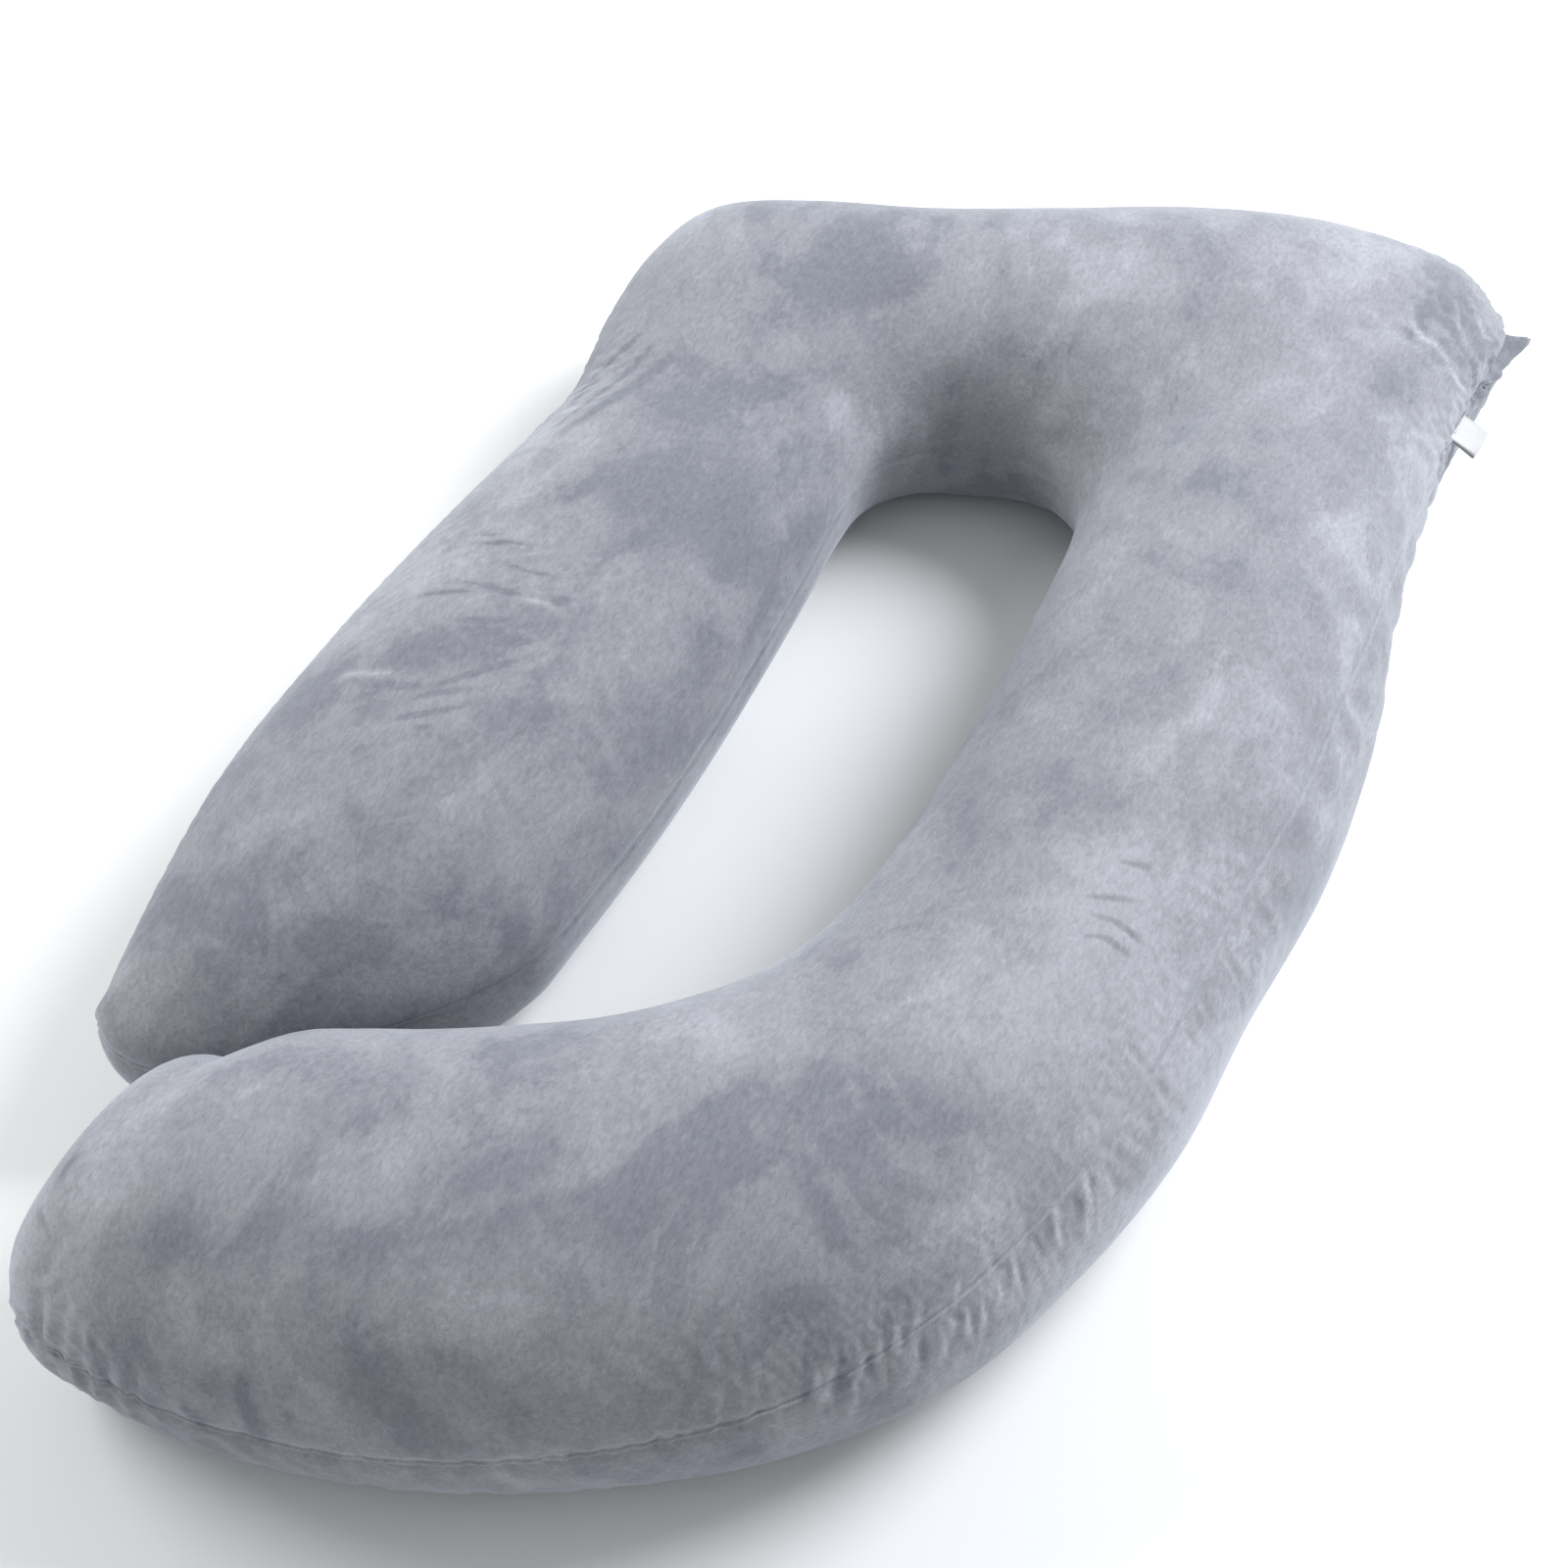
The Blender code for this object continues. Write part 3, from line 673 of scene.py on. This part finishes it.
CREASE_BROW = 0.30          # the counter-fold beside a crease, as a share of its height
CREASE_BROW_AWAY = 2.2      # and how many widths away it runs
CREASE_NEAR = 4             # points further than this many widths away are left alone
CREASE_STEPS = 6            # steps of the curve between two of its places
CREASE_PAINTED_SHADE = 0.34         # painted shade and highlight: how much darker a crease and lighter a ridge is coloured, for each millimetre
CREASE_PAINTED_SHADE_MOST = 1.3     # and the most that it darkens or lightens

cover_points = cover.reshape(-1, 3)
quads = grid_faces(*cover.shape[:2])[:(len(cover) - 1) * cover.shape[1]]
cover_tree = BVHTree.FromPolygons(cover_points.tolist(), quads)
camera_right = camera.rotation_quaternion @ Vector((1.0, 0.0, 0.0))
camera_up = camera.rotation_quaternion @ Vector((0.0, 1.0, 0.0))
flat_lift = lift.reshape(-1)
# Lightness per point: the lie of the nap, to which painted highlight (seam ridge, creases' ridges),
# painted shade (creases, round the flap) and the patches below are added.
nap_and_painted_light = np.zeros(len(cover_points) + 2)
# A painted highlight: lighter colour along the outer seam's ridge.
nap_and_painted_light[:-2] += (SEAM_PAINTED_HIGHLIGHT * np.exp(-(from_outer_seam / SEAM_RIDGE_WIDTH) ** 2)).reshape(-1)


def seen_on_cover(across, down):
    """The place on the cover that shows at one pixel of the photo."""
    middle = PHOTO_PIXELS / 2
    ray = camera_right * (across - middle) - camera_up * (down - middle)
    ray = ray * (CAMERA_SENSOR / CAMERA_LENS / PHOTO_PIXELS) - toward_camera
    return np.array(cover_tree.ray_cast(camera.location, ray.normalized())[0])


def smooth_path(places, steps):
    """A smooth curve through a crease's places."""
    points = np.array(places)
    ends = np.concatenate([[2 * points[0] - points[1]], points, [2 * points[-1] - points[-2]]])
    path = []
    for index in range(len(points) - 1):
        before, start, end, after = ends[index:index + 4]
        for part in np.arange(steps) / steps:
            path.append(start + (end - before) / 2 * part
                        + (before - 2.5 * start + 2 * end - after / 2) * part**2
                        + (1.5 * (start - end) + (after - before) / 2) * part**3)
    return np.array(path + [points[-1]])


for crease in CREASES:
    width = crease.width * MM
    path = smooth_path([seen_on_cover(*pixel) for pixel in crease.places], CREASE_STEPS)
    lengths = np.linalg.norm(np.diff(path, axis=0), axis=1)
    travelled = np.concatenate([[0.0], np.cumsum(lengths)]) / lengths.sum()
    margin = CREASE_NEAR * width
    inside = ((cover_points > path.min(axis=0) - margin)
              & (cover_points < path.max(axis=0) + margin))
    near = np.nonzero(inside.all(axis=1))[0]
    distance = np.full(len(near), 1.0)
    run = np.zeros(len(near))
    for index, (start, end) in enumerate(zip(path[:-1], path[1:])):
        along = end - start
        part = np.clip((cover_points[near] - start) @ along / (along @ along), 0.0, 1.0)
        away = np.linalg.norm(cover_points[near] - start - part[:, None] * along, axis=1)
        closer = away < distance
        distance[closer] = away[closer]
        run[closer] = (travelled[index] + part * (travelled[index + 1] - travelled[index]))[closer]
    rise = np.clip(run / CREASE_FADE, 0.0, 1.0)
    fall = np.clip((1 - run) / CREASE_FADE, 0.0, 1.0)
    share = ((crease.start + (1 - crease.start) * rise**2 * (3 - 2 * rise))
             * (crease.finish + (1 - crease.finish) * fall**2 * (3 - 2 * fall)))
    fold = (np.exp(-(distance / width) ** 2)
            - CREASE_BROW * np.exp(-((distance - CREASE_BROW_AWAY * width) / width) ** 2))
    flat_lift[near] += crease.height * MM * share * fold
    # Painted shade along the valleys and painted highlight along the ridges, in the colour.
    crease_painted_light = math.copysign(min(abs(crease.height) * CREASE_PAINTED_SHADE, CREASE_PAINTED_SHADE_MOST), crease.height)
    nap_and_painted_light[near] += crease_painted_light * share * np.exp(-(distance / width) ** 2)

# The corner's flap: the seam allowance and a fold of both panels stand out past
# the seam as a thin drooping fin, with a smaller one below it.
# The row, how far out the flap stands there, and how much it droops.
FLAP = [
    (15.60, 0.000, 0.1), (15.78, 0.010, 0.1), (15.90, 0.027, 0.1), (16.00, 0.032, 0.2),
    (16.10, 0.023, 0.4), (16.26, 0.013, 0.8), (16.60, 0.010, 1.1), (16.88, 0.008, 1.3),
    (16.98, 0.002, 1.0), (17.08, 0.000, 0.5), (17.16, 0.009, 0.4), (17.34, 0.012, 0.4),
    (17.44, 0.007, 0.4), (17.52, 0.000, 0.4),
]
FLAP_THICK = 0.0040
FLAP_GROOVE = 0.0060
FLAP_GROOVE_AWAY = 2.0      # the groove runs this many thicknesses above the seam
FLAP_GROOVE_PAINTED_SHADE = 0.9     # painted shade: how much darker the groove is coloured
FLAP_PAINTED_SHADE = 0.6            # and the flap
FLAP_FULL = 0.012           # the groove and the painted shade are at their fullest where the flap is this wide
FLAP_SOFTEN = np.array([1, 2, 1]) / 4

flap_rows, flap_outs, flap_droops = zip(*FLAP)
flap_out = np.interp(cover_rows, flap_rows, flap_outs)
flap_out = np.convolve(np.pad(flap_out, 1, mode="edge"), FLAP_SOFTEN, mode="valid")
flap_share = np.exp(-(from_outer_seam / FLAP_THICK) ** 2)
flap_way = cover[:, 0] - cover[:, TOP_STEPS]
flap_way[:, 2] = 0.0
flap_way /= np.linalg.norm(flap_way, axis=1, keepdims=True)
flap_way[:, 2] = -np.interp(cover_rows, flap_rows, flap_droops)
flap_there = np.clip(flap_out / FLAP_FULL, 0.0, 1.0)[:, None]
groove = np.exp(-((from_outer_seam - FLAP_GROOVE_AWAY * FLAP_THICK) / FLAP_THICK) ** 2) * on_top
lift -= FLAP_GROOVE * groove * flap_there
# Painted shade in the groove above the flap and on the drooping flap itself.
flap_painted_shade = (FLAP_GROOVE_PAINTED_SHADE * groove + FLAP_PAINTED_SHADE * flap_share) * flap_there
nap_and_painted_light[:-2] -= flap_painted_shade.reshape(-1)

cover = cover + cover_normals * lift[:, :, None]
cover += flap_way[:, None, :] * (flap_out[:, None] * flap_share)[:, :, None]
cover[:, :, 2] = np.maximum(cover[:, :, 2], 0.0)

body = bpy.data.objects.new("plush_pillow", cover_mesh("plush_pillow", cover))
bpy.context.scene.collection.objects.link(body)
body.data.shade_smooth()

# Lighter and darker patches seen from above: partly the nap's own brushed patches, up and light or
# down and dark, and partly painted light and shade for how light falls on the pillow (lighter on
# the right arm, darker on the left arm's lower part, the curl's front and the corner).
NapAndLightPatch = namedtuple("NapAndLightPatch", "x y along across turn lay")
NAP_AND_LIGHT_PATCHES = [NapAndLightPatch(*row) for row in (
    (0.310, 0.060, 0.310, 0.100, 92, 0.40),
    (0.300, -0.190, 0.120, 0.090, 90, 0.60),
    (-0.290, 0.030, 0.170, 0.080, 88, 0.25),
    (-0.300, 0.270, 0.090, 0.060, 60, 0.20),
    (-0.278, -0.150, 0.070, 0.036, 40, -1.15),
    (-0.335, -0.205, 0.030, 0.025, 0, -0.40),
    (-0.240, -0.320, 0.130, 0.090, 60, -0.60),
    (-0.100, 0.470, 0.220, 0.080, 25, -0.15),
    (-0.178, 0.117, 0.140, 0.080, 90, -1.00),
    (-0.190, -0.530, 0.130, 0.070, 10, 0.15),
    (-0.285, -0.590, 0.060, 0.080, 0, 0.45),
    (-0.155, -0.635, 0.120, 0.024, 20, -0.55),
    (-0.258, -0.660, 0.060, 0.040, 60, 1.10),
    (0.100, -0.480, 0.150, 0.070, 30, -0.55),
    (0.190, -0.560, 0.070, 0.050, 30, -0.25),
    (0.187, -0.313, 0.080, 0.030, 40, 0.40),
    (0.215, -0.375, 0.070, 0.022, 40, -0.30),
    (0.265, -0.430, 0.060, 0.045, 50, 0.35),
    (0.010, -0.512, 0.070, 0.020, 50, -0.40),
    (0.281, 0.172, 0.060, 0.020, 20, -0.40),
    (0.287, -0.064, 0.060, 0.015, 30, -0.25),
    (0.313, -0.010, 0.060, 0.045, 90, 0.30),
    (0.291, -0.301, 0.070, 0.055, 60, 0.45),
    (-0.205, -0.670, 0.040, 0.020, 10, 0.35),
    (-0.280, -0.439, 0.045, 0.035, 20, 0.35),
    (0.130, 0.045, 0.040, 0.020, 60, -0.40),
    (0.335, 0.590, 0.060, 0.045, 0, -1.00),
    (0.325, 0.490, 0.060, 0.026, 70, -0.45),
)]
for patch in NAP_AND_LIGHT_PATCHES:
    turn = math.radians(patch.turn)
    away_x, away_y = cover_points[:, 0] - patch.x, cover_points[:, 1] - patch.y
    along = (away_x * math.cos(turn) + away_y * math.sin(turn)) / patch.along
    across = (away_y * math.cos(turn) - away_x * math.sin(turn)) / patch.across
    nap_and_painted_light[:-2] += patch.lay * np.exp(-along**2 - across**2)
# The attribute holds the nap's patches together with the painted shade and painted highlight above.
nap_and_light_attribute = body.data.attributes.new("nap_and_painted_light", "FLOAT", "POINT")
nap_and_light_attribute.data.foreach_set("value", nap_and_painted_light)

# Short-pile velvet plush, grey-blue: the nap lies in soft brushed patches with ragged edges,
# light and dark, over a fine streaky pile, and the colour also takes painted shade and highlight.
PLUSH_DARK = (0.198, 0.204, 0.234)
PLUSH_MID = (0.276, 0.279, 0.306)
PLUSH_LIGHT = (0.366, 0.369, 0.403)
PLUSH_ROUGHNESS = 0.88
PLUSH_SHINE = 0.22
PLUSH_SHEEN = 0.40
PLUSH_SHEEN_ROUGHNESS = 0.42
PLUSH_SHEEN_TINT = (0.86, 0.91, 1.0)
TO_MID = (0.10, 0.52)       # the summed lightness (nap, painted shade and highlight, noise) over which dark turns to mid
TO_LIGHT = (0.48, 0.95)     # and mid to light
PILE_SHADES = (0.82, 1.18)
RELIEF_STRENGTH = 0.45
RELIEF_DEPTH = 0.0022
PILE_RELIEF = 0.35          # the pile's share of the relief beside the tufts'

# The nap's grain: its scale, how it is stretched and turned, and the part of
# its range that is used. Each change is how far it moves the summed lightness.
Grain = namedtuple("Grain", "scale detail roughness distortion stretch turn low high")
RAGGED = Grain(6.5, 8.0, 0.62, 0.3, (1.0, 1.0, 1.0), 0.0, 0.25, 0.75)
DAPPLED = Grain(30.0, 6.0, 0.62, 0.2, (1.0, 0.62, 1.0), 0.6, 0.25, 0.75)
BRUSHED = Grain(8.0, 9.0, 0.60, 0.8, (1.0, 0.75, 1.0), 0.5, 0.455, 0.530)
PILE = Grain(300.0, 4.0, 0.72, 0.6, (1.0, 0.42, 1.0), 0.35, 0.30, 0.70)
TUFTS = Grain(70.0, 4.0, 0.6, 0.3, (1.0, 0.6, 1.0), 0.5, 0.0, 1.0)
RAGGED_CHANGE = 0.36
DAPPLED_CHANGE = 0.20
BRUSHED_CHANGE = 0.10

plush = bpy.data.materials.new("grey_blue_plush")
plush.use_nodes = True
plush_nodes = plush.node_tree.nodes
plush_links = plush.node_tree.links
plush_shader = plush_nodes["Principled BSDF"]
plush_shader.inputs["Roughness"].default_value = PLUSH_ROUGHNESS
plush_shader.inputs["Specular IOR Level"].default_value = PLUSH_SHINE
plush_shader.inputs["Sheen Weight"].default_value = PLUSH_SHEEN
plush_shader.inputs["Sheen Roughness"].default_value = PLUSH_SHEEN_ROUGHNESS
plush_shader.inputs["Sheen Tint"].default_value = (*PLUSH_SHEEN_TINT, 1.0)
plush_place = plush_nodes.new("ShaderNodeTexCoord")


def plush_noise(grain):
    """One grain of the plush as noise over the body."""
    mapping = plush_nodes.new("ShaderNodeMapping")
    mapping.inputs["Scale"].default_value = grain.stretch
    mapping.inputs["Rotation"].default_value = (0.0, 0.0, grain.turn)
    plush_links.new(plush_place.outputs["Object"], mapping.inputs["Vector"])
    noise = plush_nodes.new("ShaderNodeTexNoise")
    noise.inputs["Scale"].default_value = grain.scale
    noise.inputs["Detail"].default_value = grain.detail
    noise.inputs["Roughness"].default_value = grain.roughness
    noise.inputs["Distortion"].default_value = grain.distortion
    plush_links.new(mapping.outputs["Vector"], noise.inputs["Vector"])
    return noise.outputs["Fac"]


def plush_range(source, low, high, to_low=0.0, to_high=1.0, smooth=True):
    """The source's range from low to high, drawn out to another range."""
    ramp = plush_nodes.new("ShaderNodeMapRange")
    ramp.interpolation_type = "SMOOTHSTEP" if smooth else "LINEAR"
    ends = {"From Min": low, "From Max": high, "To Min": to_low, "To Max": to_high}
    for name, value in ends.items():
        ramp.inputs[name].default_value = value
    plush_links.new(source, ramp.inputs["Value"])
    return ramp.outputs["Result"]


def plush_sum(first, second):
    add = plush_nodes.new("ShaderNodeMath")
    add.operation = "ADD"
    plush_links.new(first, add.inputs[0])
    plush_links.new(second, add.inputs[1])
    return add.outputs["Value"]


def plush_mix(factor, first, second, blend="MIX"):
    mix = plush_nodes.new("ShaderNodeMix")
    mix.data_type = "RGBA"
    mix.blend_type = blend
    for value, socket in ((factor, mix.inputs[0]), (first, mix.inputs[6]), (second, mix.inputs[7])):
        if isinstance(value, float):
            socket.default_value = value
        elif isinstance(value, tuple):
            socket.default_value = (*value, 1.0)
        else:
            plush_links.new(value, socket)
    return mix.outputs[2]


# The attribute brings in the nap's patches with the painted shade and painted highlight.
nap_and_light_node = plush_nodes.new("ShaderNodeAttribute")
nap_and_light_node.attribute_name = "nap_and_painted_light"
nap_and_light_share = plush_range(nap_and_light_node.outputs["Fac"], -1.0, 1.0, 0.0, 1.0, smooth=False)
plush_tone = nap_and_light_share
for grain, change, smooth in ((RAGGED, RAGGED_CHANGE, False), (DAPPLED, DAPPLED_CHANGE, False),
                              (BRUSHED, BRUSHED_CHANGE, True)):
    plush_tone = plush_sum(plush_tone, plush_range(
        plush_noise(grain), grain.low, grain.high, -change, change, smooth=smooth))
colour = plush_mix(plush_range(plush_tone, *TO_MID), PLUSH_DARK, PLUSH_MID)
colour = plush_mix(plush_range(plush_tone, *TO_LIGHT), colour, PLUSH_LIGHT)
pile = plush_noise(PILE)
pile_shade = plush_range(pile, PILE.low, PILE.high, *PILE_SHADES, smooth=False)
colour = plush_mix(1.0, colour, pile_shade, "MULTIPLY")
plush_links.new(colour, plush_shader.inputs["Base Color"])
plush_relief = plush_sum(plush_range(pile, 0.0, 1.0, 0.0, PILE_RELIEF, smooth=False),
                         plush_range(plush_noise(TUFTS), TUFTS.low, TUFTS.high, smooth=False))
plush_bump = plush_nodes.new("ShaderNodeBump")
plush_bump.inputs["Strength"].default_value = RELIEF_STRENGTH
plush_bump.inputs["Distance"].default_value = RELIEF_DEPTH
plush_links.new(plush_relief, plush_bump.inputs["Height"])
plush_links.new(plush_bump.outputs["Normal"], plush_shader.inputs["Normal"])
body.data.materials.append(plush)

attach(body, "root")
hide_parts("pillow_body")

# The care label: a soft white satin strip folded in half, both ends caught in
# the edge seam below the ear. Its fold is a little open, and it is bare.
LABEL_ROW = 17.70
LABEL_WIDTH = 0.034
LABEL_LENGTH = 0.0270
LABEL_THICK = 0.0005
LABEL_OPEN = 0.0026
LABEL_SEWN_IN = 0.0015
LABEL_DROOP = math.radians(22)
LABEL_CURL = 0.0022
LABEL_CURL_SPAN = 1.3       # half waves of the curl across its width
LABEL_STEPS = 20
LABEL_FOLD_STEPS = 8
LABEL_ACROSS = 12
LABEL_NEXT = 0.05           # rows on to where the seam's way is taken from

label_row, label_after = section_at(LABEL_ROW), section_at(LABEL_ROW + LABEL_NEXT)
label_along = np.array([label_after.outer_x - label_row.outer_x,
                        label_after.outer_y - label_row.outer_y, 0.0])
label_along /= np.linalg.norm(label_along)
label_out = np.array([-label_along[1], label_along[0], 0.0])
label_ring = int(np.argmin(np.abs(cover_rows - LABEL_ROW)))
label_root = cover[label_ring, 0] - label_out * LABEL_SEWN_IN
label_side = label_out * math.cos(LABEL_DROOP) - np.array([0.0, 0.0, math.sin(LABEL_DROOP)])
label_up = np.cross(label_along, label_side)
label_up *= math.copysign(1.0, label_up[2])

fold_radius = LABEL_OPEN / 2
label_line = []
for step in range(LABEL_STEPS + 1):
    out = (LABEL_LENGTH - fold_radius) * step / LABEL_STEPS
    gap = LABEL_THICK + (fold_radius - LABEL_THICK) * math.sin(math.pi / 2 * step / LABEL_STEPS)
    label_line.append((out, gap))
for step in range(1, LABEL_FOLD_STEPS):
    turn = math.pi * step / LABEL_FOLD_STEPS
    label_line.append((LABEL_LENGTH - fold_radius + fold_radius * math.sin(turn),
                       fold_radius * math.cos(turn)))
label_line += [(out, -rise) for out, rise in reversed(label_line[:LABEL_STEPS + 1])]
label_line = np.array(label_line)
label_normal = np.gradient(label_line, axis=0)
label_normal = np.column_stack([-label_normal[:, 1], label_normal[:, 0]])
label_normal /= np.linalg.norm(label_normal, axis=1, keepdims=True)

label_points = []
for side in (-0.5, 0.5):
    layer = label_line + label_normal * LABEL_THICK * side
    for place in np.linspace(-0.5, 0.5, LABEL_ACROSS + 1):
        bow = LABEL_CURL * math.cos(math.pi * place * LABEL_CURL_SPAN)
        for out, rise in layer:
            sag = bow * (out / LABEL_LENGTH) ** 2
            label_points.append(label_root + label_along * LABEL_WIDTH * place
                                + label_side * out + label_up * (rise + sag))
line_count = len(label_line)
layer_count = line_count * (LABEL_ACROSS + 1)
label_faces = []
for across in range(LABEL_ACROSS):
    for step in range(line_count - 1):
        a = across * line_count + step
        b, c, d = a + 1, a + line_count + 1, a + line_count
        label_faces.append((a, b, c, d))
        label_faces.append((a + layer_count, d + layer_count, c + layer_count, b + layer_count))
for step in range(line_count - 1):
    for edge, turned in ((0, False), (LABEL_ACROSS * line_count, True)):
        a, b = edge + step, edge + step + 1
        face = (b, a, a + layer_count, b + layer_count)
        label_faces.append(tuple(reversed(face)) if turned else face)
for across in range(LABEL_ACROSS):
    for edge, turned in ((0, True), (line_count - 1, False)):
        a, b = across * line_count + edge, (across + 1) * line_count + edge
        face = (b, a, a + layer_count, b + layer_count)
        label_faces.append(tuple(reversed(face)) if turned else face)
label_mesh = bpy.data.meshes.new("satin_label")
label_mesh.from_pydata([tuple(point) for point in label_points], [], label_faces)
label_mesh.update()
label = bpy.data.objects.new("satin_label", label_mesh)
bpy.context.scene.collection.objects.link(label)
label_mesh.shade_smooth()

# Its satin is a smooth close weave with a soft shine.
SATIN_DARK = (0.42, 0.42, 0.42)
SATIN_LIGHT = (0.50, 0.50, 0.50)
SATIN_ROUGHNESS = 0.45
SATIN_WEAVE = 900.0
SATIN_WEAVE_DETAIL = 2.0
SATIN_RELIEF_STRENGTH = 0.15
SATIN_RELIEF_DEPTH = 0.0003

satin = bpy.data.materials.new("white_satin")
satin.use_nodes = True
satin_nodes, satin_links = satin.node_tree.nodes, satin.node_tree.links
satin_shader = satin_nodes["Principled BSDF"]
satin_shader.inputs["Roughness"].default_value = SATIN_ROUGHNESS
satin_place = satin_nodes.new("ShaderNodeTexCoord")
satin_weave = satin_nodes.new("ShaderNodeTexNoise")
satin_weave.inputs["Scale"].default_value = SATIN_WEAVE
satin_weave.inputs["Detail"].default_value = SATIN_WEAVE_DETAIL
satin_links.new(satin_place.outputs["Object"], satin_weave.inputs["Vector"])
satin_tone = satin_nodes.new("ShaderNodeMix")
satin_tone.data_type = "RGBA"
satin_tone.inputs[6].default_value = (*SATIN_DARK, 1.0)
satin_tone.inputs[7].default_value = (*SATIN_LIGHT, 1.0)
satin_links.new(satin_weave.outputs["Fac"], satin_tone.inputs[0])
satin_links.new(satin_tone.outputs[2], satin_shader.inputs["Base Color"])
satin_bump = satin_nodes.new("ShaderNodeBump")
satin_bump.inputs["Strength"].default_value = SATIN_RELIEF_STRENGTH
satin_bump.inputs["Distance"].default_value = SATIN_RELIEF_DEPTH
satin_links.new(satin_weave.outputs["Fac"], satin_bump.inputs["Height"])
satin_links.new(satin_bump.outputs["Normal"], satin_shader.inputs["Normal"])
label_mesh.materials.append(satin)

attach(label, "root")
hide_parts("care_label")

bpy.context.view_layer.update()
